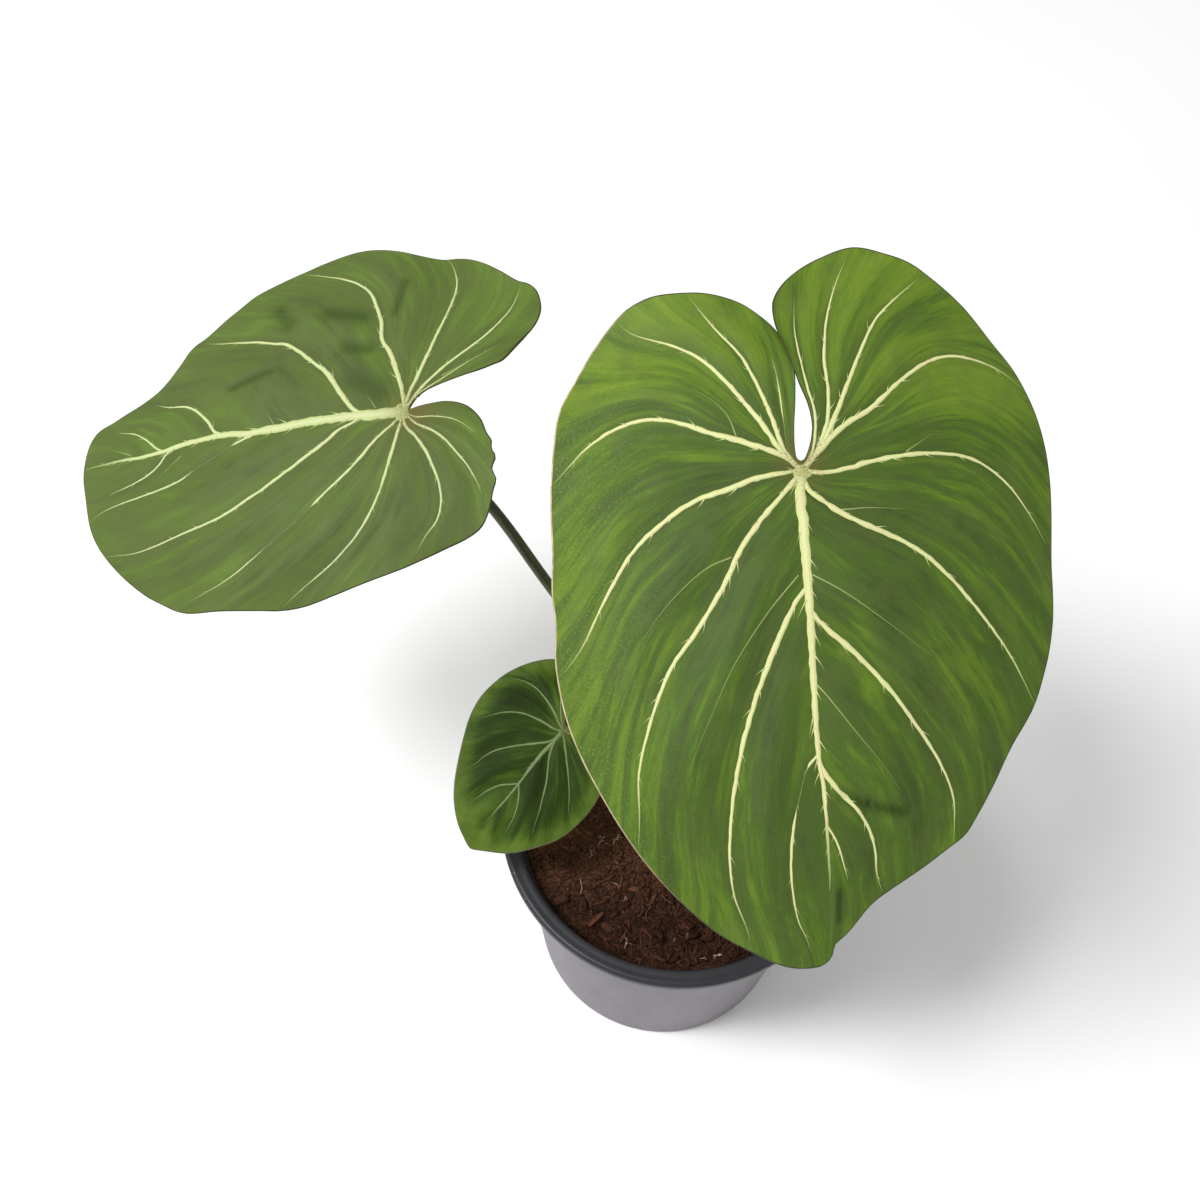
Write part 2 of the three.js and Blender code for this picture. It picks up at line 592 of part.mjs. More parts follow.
// The height of the wave at a fraction s of the way out to the margin
function marginWave(leaf, turn, s, length) {
  const reach = Math.min(1, length / WAVE_REACH);
  return leaf.wave * reach * s ** WAVE_POWER * Math.sin(2 * Math.PI * leaf.waves * turn);
}

function blendedRay(leaf, outline, spine, ray, next, fraction) {
  const start = THREE.MathUtils.lerp(ray.start, next.start, fraction);
  const turn = THREE.MathUtils.lerp(ray.turn, next.turn, fraction);
  const startIndex = Math.round(start * leaf.spineSteps);
  const margin = outline.getPointAt(turn);
  const root = spine.getPointAt(startIndex / leaf.spineSteps);
  const ends = [ray.curve.getPointAt(1), next.curve.getPointAt(1)];
  const roots = [ray.curve.getPointAt(0), next.curve.getPointAt(0)];
  const marginShift = margin.clone().sub(ends[0].lerp(ends[1], fraction));
  const rootShift = root.clone().sub(roots[0].lerp(roots[1], fraction));
  const length = margin.distanceTo(root);
  const points = [];
  for (let step = 0; step <= leaf.steps; step += 1) {
    const s = step / leaf.steps;
    const [a, b] = [ray.curve.getPointAt(s), next.curve.getPointAt(s)];
    const bulge = PANEL_BULGE * a.distanceTo(b) * Math.sin(Math.PI * fraction) ** 2;
    const point = a.lerp(b, fraction);
    point.addScaledVector(marginShift, s ** SHIFT_POWER);
    point.addScaledVector(rootShift, (1 - s) ** SHIFT_POWER);
    point.z = bladeHeight(leaf, point.x, point.y);
    point.z += bulge * Math.sin(Math.PI * s) + marginWave(leaf, turn, s, length);
    points.push(point);
  }
  return { startIndex, points, turn };
}

// The narrow strip between the notch and the vein beside it: rows of points across from the vein
// to the margin, the first of them running from the joint to the bottom of the notch
function notchRows(leaf, outline, ray, notchTurn) {
  const rows = [];
  for (let step = 0; step < leaf.steps; step += 1) {
    const turn = THREE.MathUtils.lerp(notchTurn, ray.turn, step / leaf.steps);
    const inner = ray.points[step];
    const margin = outline.getPointAt(turn);
    const row = [];
    for (let column = 1; column <= NOTCH_COLUMNS; column += 1) {
      const s = column / NOTCH_COLUMNS;
      const point = inner.clone().lerp(margin, s);
      point.z = bladeHeight(leaf, point.x, point.y);
      point.z += marginWave(leaf, turn, Math.max(s, step / leaf.steps), margin.length());
      row.push(point);
    }
    rows.push(row);
  }
  return rows;
}

// The blade's middle surface: its points, its faces and the loop of points round its margin
function leafSurface(leaf) {
  const { rays, spine, outline } = leafRays(leaf);
  const { steps, spineSteps } = leaf;
  const points = [];
  const faces = [];
  const add = (point) => points.push(point) - 1;
  const face = (a, b, c) => new Set([a, b, c]).size === 3 && faces.push([a, b, c]);
  for (let index = 0; index <= spineSteps; index += 1) {
    const point = spine.getPointAt(index / spineSteps);
    point.z = bladeHeight(leaf, point.x, point.y);
    add(point);
  }
  const rings = rays.map((ray) => ray.points.slice(1).map(add));
  rays.slice(0, -1).forEach((ray, index) => {
    const next = rays[index + 1];
    const [here, beside] = [rings[index], rings[index + 1]];
    const [low, high] = [ray.startIndex, next.startIndex].sort((a, b) => a - b);
    face(here[0], beside[0], high);
    for (let knot = high; knot > low; knot -= 1) {
      const apex = ray.startIndex === low ? [here[0], knot, knot - 1] : [beside[0], knot - 1, knot];
      face(...apex);
    }
    for (let step = 0; step < steps - 1; step += 1) {
      face(here[step], here[step + 1], beside[step + 1]);
      face(here[step], beside[step + 1], beside[step]);
    }
  });
  const leftRows = notchRows(leaf, outline, rays[0], 0).map((row) => row.map(add));
  const rightRows = notchRows(leaf, outline, rays.at(-1), 1).slice(1).map((row) => row.map(add));
  rightRows.unshift(leftRows[0]);
  const strip = (rows, ring, turned) => {
    const end = ring[steps - 1];
    const grid = rows.map((row, step) => [step === 0 ? 0 : ring[step - 1], ...row]);
    grid.push(new Array(NOTCH_COLUMNS + 1).fill(end));
    for (let step = 0; step < steps; step += 1) {
      for (let column = 0; column < NOTCH_COLUMNS; column += 1) {
        const [a, b] = [grid[step][column], grid[step + 1][column]];
        const [c, d] = [grid[step + 1][column + 1], grid[step][column + 1]];
        if (turned) {
          face(a, c, b);
          face(a, d, c);
        } else {
          face(a, b, c);
          face(a, c, d);
        }
      }
    }
  };
  strip(leftRows, rings[0], true);
  strip(rightRows, rings.at(-1), false);
  const leftMargin = leftRows.map((row) => row.at(-1));
  const rightMargin = rightRows.slice(1).map((row) => row.at(-1)).reverse();
  const margin = [...leftMargin, ...rings.map((ring) => ring.at(-1)), ...rightMargin];
  return { points, faces, margin };
}

// One closed sheet: the same faces above and below, joined round the margin
function bladeGeometry(leaf) {
  const { points, faces, margin } = leafSurface(leaf);
  const half = BLADE_THICKNESS / 2;
  const count = points.length;
  const positions = [];
  points.forEach((point) => positions.push(point.x, point.y, point.z + half));
  points.forEach((point) => positions.push(point.x, point.y, point.z - half));
  const all = faces.flat();
  faces.forEach(([a, b, c]) => all.push(a + count, c + count, b + count));
  margin.forEach((a, index) => {
    const b = margin[(index + 1) % margin.length];
    all.push(b, a, a + count, b, a + count, b + count);
  });
  return meshGeometry(positions, all);
}

// A raised vein: a low ridge of three-sided section that lies along a line of surface points
function veinSolid(leaf, line, widthAt) {
  const positions = [];
  const faces = [];
  line.forEach((point, index) => {
    const before = line[Math.max(0, index - 1)];
    const after = line[Math.min(line.length - 1, index + 1)];
    const side = new THREE.Vector3(before.y - after.y, after.x - before.x, 0).normalize();
    const width = widthAt(index / (line.length - 1));
    const floor = point.z + BLADE_THICKNESS / 2 + VEIN_GAP;
    for (const offset of [-width / 2, width / 2]) {
      positions.push(point.x + offset * side.x, point.y + offset * side.y, floor);
    }
    positions.push(point.x, point.y, floor + VEIN_LEAST_HEIGHT + VEIN_HEIGHT_PER_WIDTH * width);
    if (index > 0) {
      const now = 3 * index;
      for (const [i, j] of [[0, 2], [2, 1], [1, 0]]) {
        faces.push(now - 3 + i, now + i, now + j, now - 3 + i, now + j, now - 3 + j);
      }
    }
  });
  const end = 3 * (line.length - 1);
  faces.push(0, 2, 1, end, end + 1, end + 2);
  return toSolid(meshGeometry(positions, faces));
}

function veinsGeometry(leaf) {
  const { rays, mains, spine } = leafRays(leaf);
  const midrib = [];
  for (let index = 0; index <= leaf.spineSteps; index += 1) {
    const point = spine.getPointAt(index / leaf.spineSteps);
    point.z = bladeHeight(leaf, point.x, point.y);
    midrib.push(point);
  }
  const taper = (root) => (fraction) => THREE.MathUtils.lerp(root, VEIN_END_WIDTH, fraction);
  let solid = veinSolid(leaf, midrib, taper(leaf.midribWidth));
  for (const vein of mains.filter((main) => main.width)) {
    const ray = rays.find((candidate) => candidate.turn === vein.turn);
    const shown = Math.round(vein.shown * leaf.steps);
    const line = ray.points.slice(0, shown + 1);
    solid = solid.add(veinSolid(leaf, line, taper(vein.width)));
  }
  return toGeometry(solid);
}

function leafGroup(name, leaf, bladeMaterial, veinsMaterial) {
  const group = new THREE.Group();
  group.applyMatrix4(leafFrame(leaf));
  group.add(named(`blade_${name}`, bladeGeometry(leaf), bladeMaterial));
  group.add(named(`veins_${name}`, veinsGeometry(leaf), veinsMaterial));
  return group;
}

// Stalks

function stalkGeometry({ leaf, route, foot, waist, top }) {
  const frame = leafFrame(leaf);
  const slope = (4 * leaf.arch) / vector(leaf.tip).distanceTo(vector(leaf.joint));
  const under = (depth) => new THREE.Vector3(slope * depth, 0, -depth).applyMatrix4(frame).toArray();
  const seat = BLADE_THICKNESS / 2 + 2 * CLEARANCE;
  const curve = smoothCurve([...route, under(NECK_LENGTH), under(NECK_LENGTH / 2), under(seat)]);
  const radiusAt = (fraction) => {
    if (fraction < SHEATH_LENGTH) {
      return THREE.MathUtils.lerp(foot, waist, fraction / SHEATH_LENGTH);
    }
    return THREE.MathUtils.lerp(waist, top, (fraction - SHEATH_LENGTH) / (1 - SHEATH_LENGTH));
  };
  return taperedTube(curve, radiusAt, STALK_SIDES, STALK_STEPS);
}

// The whole plant

const plant = new THREE.Group();
plant.add(named('pot', potGeometry(), MATERIALS.pot));
plant.add(named('soil', soilGeometry(), MATERIALS.soil));
plant.add(named('rhizome', rhizomeGeometry(), MATERIALS.rhizome));
for (const [name, stalk] of Object.entries(STALKS)) {
  plant.add(named(`petiole_${name}`, stalkGeometry(stalk), MATERIALS.stalk));
}
plant.add(leafGroup('large', LARGE_LEAF, MATERIALS.blade, MATERIALS.veins));
plant.add(leafGroup('left', LEFT_LEAF, MATERIALS.blade, MATERIALS.veins));
plant.add(leafGroup('small', SMALL_LEAF, MATERIALS.smallBlade, MATERIALS.smallVeins));

export default plant;
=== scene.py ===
"""The looks of the potted zebra philodendron gloriosum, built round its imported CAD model.

Shapes are worked out in millimetres, in the row frame, and written to Blender in metres.
"""

import math

import bpy
import numpy as np
from mathutils import Matrix, Vector
from mathutils.bvhtree import BVHTree
from mathutils.kdtree import KDTree


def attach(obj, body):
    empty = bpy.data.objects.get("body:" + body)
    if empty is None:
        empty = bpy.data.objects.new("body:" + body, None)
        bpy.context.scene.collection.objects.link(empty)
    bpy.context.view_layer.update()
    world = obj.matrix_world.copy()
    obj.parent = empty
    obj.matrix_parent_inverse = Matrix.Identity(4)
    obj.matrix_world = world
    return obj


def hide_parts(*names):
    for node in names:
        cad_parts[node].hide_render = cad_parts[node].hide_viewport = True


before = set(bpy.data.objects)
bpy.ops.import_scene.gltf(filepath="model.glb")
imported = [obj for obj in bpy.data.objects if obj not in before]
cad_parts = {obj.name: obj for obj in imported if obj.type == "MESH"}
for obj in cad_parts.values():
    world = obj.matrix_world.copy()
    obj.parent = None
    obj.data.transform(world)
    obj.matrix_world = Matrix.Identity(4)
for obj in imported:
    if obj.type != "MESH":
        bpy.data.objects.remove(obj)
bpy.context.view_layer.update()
scene = bpy.context.scene
scene.view_settings.view_transform = "Standard"
MM = 0.001


def add_object(name, data):
    added = bpy.data.objects.new(name, data)
    scene.collection.objects.link(added)
    return added


def new_mesh(name, points, faces):
    """A mesh from points in millimetres."""
    mesh = bpy.data.meshes.new(name)
    mesh.from_pydata((np.asarray(points, float) * MM).tolist(), [], faces)
    return mesh


# Camera

CAMERA_PLACE = (-32.84, -226.10, 632.97)
CAMERA_PITCH = 31.42
CAMERA_ROLL = 2.919
CAMERA_LENS = 45
CAMERA_SENSOR = 36
NEAREST = 0.01
FARTHEST = 20

camera_data = bpy.data.cameras.new("camera")
camera_data.lens = CAMERA_LENS
camera_data.sensor_width = CAMERA_SENSOR
camera_data.clip_start = NEAREST
camera_data.clip_end = FARTHEST
camera = add_object("camera", camera_data)
scene.camera = camera
pitch = Matrix.Rotation(math.radians(CAMERA_PITCH), 4, "X")
roll = Matrix.Rotation(math.radians(CAMERA_ROLL), 4, "Z")
camera.matrix_world = Matrix.Translation(Vector(CAMERA_PLACE) * MM) @ pitch @ roll


# Materials


def linear(colour):
    """Red, green and blue out of 255, or a grey from 0 to 1, for a node. A socket stays as it is."""
    if isinstance(colour, tuple):
        channels = np.array(colour) / 255
        bright = ((channels + 0.055) / 1.055) ** 2.4
        return (*np.where(channels <= 0.04045, channels / 12.92, bright).tolist(), 1.0)
    return (colour, colour, colour, 1) if isinstance(colour, float) else colour


class Shader:
    """A procedural material, built node by node on one Principled shader."""

    def __init__(self, name, **sockets):
        self.material = bpy.data.materials.new(name)
        self.material.use_nodes = True
        self.tree = self.material.node_tree
        self.surface = self.tree.nodes["Principled BSDF"]
        for socket, value in sockets.items():
            self.surface.inputs[socket.replace("_", " ")].default_value = value

    def node(self, kind, inputs, **settings):
        """A new node, each of its inputs linked to a socket or set to a value."""
        node = self.tree.nodes.new(f"ShaderNode{kind}")
        for name, value in settings.items():
            setattr(node, name, value)
        for key, value in inputs.items():
            if isinstance(value, bpy.types.NodeSocket):
                self.tree.links.new(value, node.inputs[key])
            else:
                node.inputs[key].default_value = value
        return node

    def value(self, name):
        """One of the values that a mesh holds at each of its points."""
        return self.node("Attribute", {}, attribute_name=name).outputs["Fac"]

    def flow(self, across, along):
        """The mesh's own flow in millimetres, across and along it, with a scale for each."""
        vector = self.node("Attribute", {}, attribute_name="flow").outputs["Vector"]
        return self.node("Mapping", {"Vector": vector, "Scale": (across, along, 1)}).outputs["Vector"]

    def place(self, *scale):
        """The point on the surface in millimetres, with one scale or with three."""
        point = self.node("TexCoord", {}).outputs["Object"]
        scale = [part / MM for part in (scale * 3)[:3]]
        return self.node("Mapping", {"Vector": point, "Scale": scale}).outputs["Vector"]

    def noise(self, vector, detail=3, roughness=0.55, distortion=0):
        inputs = {"Vector": vector, "Scale": 1, "Detail": detail, "Roughness": roughness}
        return self.node("TexNoise", {**inputs, "Distortion": distortion}).outputs["Fac"]

    def ramp(self, factor, *stops):
        node = self.node("ValToRGB", {"Fac": factor})
        elements = node.color_ramp.elements
        for _ in stops[2:]:
            elements.new(0.5)
        for element, (position, colour) in zip(elements, stops):
            element.position = position
            element.color = linear(colour)
        return node.outputs["Color"]

    def rescale(self, value, low, high, new_low=0, new_high=1):
        inputs = {"Value": value, 1: low, 2: high, 3: new_low, 4: new_high}
        return self.node("MapRange", inputs).outputs["Result"]

    def mix(self, factor, first, second, blend="MIX"):
        """Two colours mixed. In a mix node, sockets 6 and 7 are its colours, and 2 is its result."""
        inputs = {0: factor, 6: linear(first), 7: linear(second)}
        return self.node("Mix", inputs, data_type="RGBA", blend_type=blend).outputs[2]

    def plus(self, first, second):
        return self.node("Math", {0: first, 1: second}, operation="ADD").outputs[0]

    def times(self, first, second):
        return self.node("Math", {0: first, 1: second}, operation="MULTIPLY").outputs[0]

    def finish(self, colour, height=None, strength=0, depth_mm=0, roughness=None):
        """The finished material, with its colour and what it has of bump and roughness linked."""
        links = {"Base Color": colour, "Roughness": roughness}
        if height is not None:
            inputs = {"Height": height, "Strength": strength, "Distance": depth_mm * MM}
            links["Normal"] = self.node("Bump", inputs).outputs["Normal"]
        for socket, source in links.items():
            if source is not None:
                self.tree.links.new(source, self.surface.inputs[socket])
        return self.material


def blade_material(name, look):
    """Velvety leaf green in streaks that follow the veins, with painted shade beside them and in
    creases, painted light and painted glints, paler below.
    """
    shader = Shader(name, IOR=1.4, Specular_IOR_Level=look["gloss"])
    streaks = shader.noise(shader.flow(0.16, 0.028), 5, 0.6, 0.8)
    broad = shader.noise(shader.flow(0.05, 0.018), 3, 0.55, 0.8)
    fine = shader.noise(shader.flow(1.1, 0.2), 4, 0.65, 0.4)
    mottle = shader.noise(shader.place(0.11))
    grain = shader.noise(shader.place(1.7), 2, 0.6)
    pale = shader.value("paleness_and_painted_light")
    from_joint = shader.node("SeparateXYZ", {0: shader.flow(1, 1)}).outputs["Y"]
    fine_share = shader.rescale(from_joint, 0, 35, 0.06, 0.2)
    tone = shader.plus(shader.times(streaks, 0.6), shader.times(broad, 0.4))
    tone = shader.plus(tone, shader.times(shader.plus(fine, -0.5), fine_share))
    # The tone lifted by the pale field: partly the leaf's own paler green, partly painted light
    tone = shader.plus(tone, shader.times(pale, look["lift"]))
    greens = zip((0.3, 0.44, 0.54, 0.64, 0.8), ("deep", "olive", "mid", "bright", "pale"))
    colour = shader.ramp(tone, *((position, look[green]) for position, green in greens))
    colour = shader.mix(shader.rescale(mottle, 0.45, 0.72, 0, 0.45), colour, look["mottle"])
    # Painted shade beside the veins, lighter on their lit side towards the tip
    shade = shader.rescale(shader.value("painted_vein_shade"), 0, 1, 0, look["painted_vein_shade_depth"])
    colour = shader.mix(shade, colour, look["painted_vein_shade"])
    # Painted shade in the creases and dents
    colour = shader.mix(shader.times(shader.value("painted_crease_shade"), 0.75), colour, look["crease_shade_colour"])
    # Painted glints: specks of painted highlight on the velvet, most where the margin is pink, on the
    # lit left side
    painted_glints = shader.ramp(grain, (0.54, 0.0), (0.7, 1.0))
    painted_glint_share = shader.rescale(shader.value("pink"), 0.1, 1, 0.05, 0.36)
    colour = shader.mix(shader.times(painted_glints, painted_glint_share), colour, look["painted_glint"])
    stain = shader.times(shader.value("stain"), shader.rescale(grain, 0.3, 0.6, 0.3, 0.9))
    colour = shader.mix(stain, colour, (96, 82, 44))
    below = shader.mix(shader.rescale(fine, 0.3, 0.7), look["under_dark"], look["under"])
    colour = shader.mix(shader.value("under"), colour, below)
    relief = shader.plus(shader.times(fine, 0.5), shader.times(grain, 0.35))
    return shader.finish(colour, relief, 0.35, 0.35, shader.rescale(fine, 0.3, 0.7, 0.5, 0.66))


LARGE_LOOK = {
    "crease_shade_colour": (36, 50, 16), "deep": (46, 66, 22), "olive": (64, 80, 34), "mid": (68, 92, 30),
    "bright": (87, 113, 31), "pale": (105, 128, 37), "mottle": (78, 92, 44), "painted_vein_shade": (64, 80, 34),
    "painted_vein_shade_depth": 0.65, "painted_glint": (134, 157, 64), "under": (150, 166, 118), "under_dark": (130, 150, 98),
    "lift": 0.11, "gloss": 0.22,
}
LEFT_LOOK = {
    **LARGE_LOOK, "crease_shade_colour": (52, 68, 26), "deep": (58, 74, 32), "olive": (78, 91, 44), "mid": (81, 98, 41),
    "bright": (88, 111, 42), "pale": (98, 122, 46), "mottle": (88, 100, 52), "painted_vein_shade": (74, 85, 46),
    "painted_vein_shade_depth": 0.5, "painted_glint": (116, 136, 72),
}
# The young leaf's darker greens: partly its own colour, partly painted shade from the large leaf above
# it
SMALL_LOOK = {
    **LARGE_LOOK, "deep": (24, 38, 8), "olive": (34, 46, 14), "mid": (40, 58, 16),
    "bright": (60, 82, 24), "pale": (84, 106, 38), "mottle": (38, 50, 18), "painted_vein_shade": (50, 66, 28),
    "painted_vein_shade_depth": 0.35, "painted_glint": (84, 106, 42), "lift": 0.3, "gloss": 0.1,
}


def margin_material(name, pinkness):
    """The thin line round a blade: dark olive, or pinkish brown where the blade is pale."""
    shader = Shader(name, Roughness=0.55, Specular_IOR_Level=0.3)
    spots = shader.noise(shader.place(0.3))
    olive = shader.ramp(spots, (0.35, (42, 52, 20)), (0.65, (66, 72, 34)))
    pink = shader.ramp(spots, (0.35, (150, 140, 98)), (0.65, (200, 178, 150)))
    share = shader.rescale(shader.value("pink"), 0.35, 0.9, 0, pinkness)
    return shader.finish(shader.mix(share, olive, pink), spots, 0.2, 0.2)


def vein_material(name, look):
    """Cream veins, grainy at their edges, that fade into the green of the blade."""
    shader = Shader(name, Roughness=0.55, IOR=1.4, Specular_IOR_Level=0.3)
    grain = shader.noise(shader.place(2.3), 3, 0.65)
    patches = shader.noise(shader.place(0.18), 2)
    across = shader.value("across")
    colour = shader.mix(shader.rescale(across, 0.3, 1), look["edge"], look["core"])
    warm = shader.times(shader.rescale(patches, 0.4, 0.65), across)
    colour = shader.mix(shader.times(warm, look["warmth"]), colour, look["warm"])
    grains = shader.ramp(grain, (0.52, 0.0), (0.66, 1.0))
    colour = shader.mix(shader.times(grains, look["graininess"]), colour, look["grain"])
    colour = shader.mix(shader.value("fade"), colour, look["far"])
    stain = shader.times(shader.value("stain"), shader.ramp(grain, (0.38, 0.15), (0.62, 0.95)))
    return shader.finish(shader.mix(stain, colour, look["stain"]), grain, 0.4, 0.2)


PALE_VEINS = {
    "core": (213, 214, 164), "edge": (190, 198, 126), "warm": (212, 196, 152), "warmth": 0.7,
    "grain": (168, 176, 108), "graininess": 0.5, "far": (100, 124, 54), "stain": (112, 104, 58),
}
LEFT_VEINS = {
    **PALE_VEINS, "core": (194, 203, 153), "edge": (172, 186, 120), "warm": (196, 192, 146),
    "grain": (156, 168, 106),
}
# The young leaf's darker veins: partly their own colour, partly painted shade from the large leaf above
# them
DULL_VEINS = {
    "core": (118, 132, 86), "edge": (94, 110, 62), "warm": (126, 134, 92), "warmth": 0.4,
    "grain": (84, 100, 54), "graininess": 0.3, "far": (56, 76, 30), "stain": (96, 96, 60),
}
UNDER_VEINS = {
    "core": (188, 196, 152), "edge": (164, 176, 126), "warm": (196, 190, 150), "warmth": 0.4,
    "grain": (150, 164, 110), "graininess": 0.3, "far": (146, 162, 112), "stain": (150, 150, 104),
}


def stalk_material():
    """Dark olive stalks with paler lengthwise lines and flecks."""
    shader = Shader("stalk", IOR=1.4, Sheen_Weight=0.1)
    lines = shader.noise(shader.flow(1.6, 0.05))
    flecks = shader.noise(shader.flow(1.2, 0.3), 2)
    colour = shader.ramp(lines, (0.3, (42, 46, 18)), (0.55, (60, 66, 30)), (0.75, (84, 90, 46)))
    colour = shader.mix(shader.ramp(flecks, (0.64, 0.0), (0.7, 0.5)), colour, (120, 124, 78))
    colour = shader.mix(shader.value("tone"), colour, (108, 122, 62))
    return shader.finish(colour, lines, 0.35, 0.3, shader.rescale(lines, 0.3, 0.7, 0.42, 0.6))


def rhizome_material():
    """Green-brown creeping stem, paler and corky on its scars."""
    shader = Shader("rhizome", IOR=1.4)
    blotches = shader.noise(shader.place(0.22), 5, 0.6)
    cork = shader.noise(shader.place(1.5), 4, 0.6)
    colour = shader.ramp(blotches, (0.3, (74, 78, 36)), (0.5, (98, 98, 52)), (0.7, (116, 96, 62)))
    colour = shader.mix(shader.value("tone"), colour, (150, 128, 92))
    colour = shader.mix(shader.rescale(cork, 0.5, 0.75, 0, 0.4), colour, (64, 48, 30))
    return shader.finish(colour, cork, 0.5, 0.5, shader.rescale(cork, 0.3, 0.7, 0.55, 0.85))


def sheath_material():
    """The papery brown remains of the leaf sheaths."""
    shader = Shader("sheath", IOR=1.4)
    lines = shader.noise(shader.flow(1.4, 0.08), 4, 0.6)
    colour = shader.ramp(lines, (0.3, (84, 58, 34)), (0.55, (140, 104, 68)), (0.75, (176, 146, 104)))
    return shader.finish(colour, lines, 0.5, 0.4, shader.rescale(lines, 0.3, 0.7, 0.6, 0.85))


def soil_material():
    """Dark damp potting mix, with redder and paler bits by each piece's own tone, and painted light
    towards the back and left, where the leaves shade it.
    """
    shader = Shader("soil", IOR=1.36, Specular_IOR_Level=0.2)
    clods = shader.noise(shader.place(0.16), 4, 0.6)
    crumbs = shader.noise(shader.place(0.9), 5, 0.65)
    colour = shader.ramp(crumbs, (0.3, (22, 11, 6)), (0.5, (50, 29, 18)), (0.68, (86, 52, 36)))
    colour = shader.mix(shader.rescale(clods, 0.4, 0.7, 0, 0.6), colour, (32, 17, 11))
    tone = shader.ramp(
        shader.value("tone"), (0.0, (32, 18, 11)), (0.35, (68, 39, 25)), (0.65, (98, 61, 42)),
        (0.85, (120, 88, 68)), (1.0, (206, 186, 160)),
    )
    grained = shader.mix(shader.rescale(crumbs, 0.3, 0.6, 0.6, 0), tone, (20, 12, 9))
    colour = shader.mix(shader.value("bit"), colour, grained)
    # Painted light: a lighter brown added where the leaves' shadow falls on the soil
    soil_painted_light = shader.times(shader.value("soil_painted_light"), shader.rescale(crumbs, 0.35, 0.65, 0.25, 1))
    colour = shader.mix(soil_painted_light, colour, (107, 73, 51), "ADD")
    return shader.finish(colour, crumbs, 0.9, 0.9, shader.rescale(crumbs, 0.35, 0.65, 0.95, 0.7))


def pot_material():
    """Satin moulded plastic, dark slate on the collar and inside, with a lilac grey of painted reflected
    light on the body.
    """
    shader = Shader("pot", IOR=1.46, Specular_IOR_Level=0.35)
    grain = shader.noise(shader.place(1.1), 3, 0.6)
    cloud = shader.noise(shader.place(0.06, 0.06, 0.018), 5, 0.65)
    flow_lines = shader.noise(shader.place(0.02, 0.02, 0.5), 3, 0.6)
    # The body's lighter lilac grey is painted reflected light on plastic that is dark slate like the
    # collar
    body = shader.ramp(cloud, (0.35, (101, 96, 105)), (0.65, (116, 109, 117)))
    body = shader.mix(shader.rescale(flow_lines, 0.4, 0.8, 0, 0.3), body, (98, 92, 99))
    collar = shader.ramp(cloud, (0.3, (39, 39, 43)), (0.7, (48, 48, 53)))
    colour = shader.mix(shader.value("collar"), body, collar)
    dust = shader.ramp(shader.noise(shader.place(0.45), 2, 0.5), (0.735, 0.0), (0.76, 1.0))
    colour = shader.mix(shader.times(dust, 0.5), colour, (176, 170, 166))
    return shader.finish(colour, grain, 0.12, 0.12, shader.rescale(grain, 0.3, 0.7, 0.36, 0.48))


def floor_material():
    """The plain pale floor, very slightly uneven in tone."""
    shader = Shader("floor", Roughness=0.7)
    shade = shader.noise(shader.place(0.002), 2)
    return shader.finish(shader.ramp(shade, (0.3, (243, 243, 243)), (0.7, (246, 246, 246))))


# Meshes

LATTICE = 256
TAPER = 0.7


def smooth(low, high, value):
    """0 below low, 1 above high, and a smooth step between."""
    share = np.clip((np.asarray(value, float) - low) / (high - low), 0, 1)
    return share * share * (3 - 2 * share)


def lattice_noise(x, y, cell, seed):
    """Smooth noise from -1 to 1 on a plane, with one random value at each corner of its cells."""
    table = np.random.default_rng(seed).uniform(-1, 1, (LATTICE, LATTICE))
    x, y = np.asarray(x, float) / cell, np.asarray(y, float) / cell
    column, row = np.floor(x).astype(int), np.floor(y).astype(int)
    u, v = smooth(0, 1, x - column), smooth(0, 1, y - row)

    def along(line):
        """The noise along one line of corners."""
        left, right = (table[place % LATTICE, line % LATTICE] for place in (column, column + 1))
        return left * (1 - u) + right * u

    return along(row) * (1 - v) + along(row + 1) * v


def circle(radius, height, sides, centre=(0, 0)):
    """Evenly spaced points round a level circle."""
    angles = 2 * np.pi * np.arange(sides) / sides
    x, y = centre[0] + radius * np.cos(angles), centre[1] + radius * np.sin(angles)
    return np.column_stack([x, y, np.full(sides, height)])


def ring_faces(rings, sides, first=0):
    """Four-sided faces from each ring of points to the next."""
    faces = []
    for ring in range(rings - 1):
        start = first + ring * sides
        for corner in range(sides):
            a, b = start + corner, start + (corner + 1) % sides
            faces.append((a, a + sides, b + sides, b))
    return faces


def capped_faces(rings, sides):
    """The faces of a closed skin: a point, then rings of points, then a point again."""
    last, end = 1 + (rings - 1) * sides, 1 + rings * sides
    faces = ring_faces(rings, sides, 1)
    for corner in range(sides):
        after = (corner + 1) % sides
        faces += [(0, 1 + corner, 1 + after), (last + after, last + corner, end)]
    return faces


def turned(faces):
    """The same faces, seen from their other side."""
    return [(face[0], *face[:0:-1]) for face in faces]


def tube_faces(rings, sides):
    """The faces of a closed tube with flat ends, from its rings of points."""
    ends = [tuple(range(sides - 1, -1, -1)), tuple(range((rings - 1) * sides, rings * sides))]
    return turned(ring_faces(rings, sides)) + ends


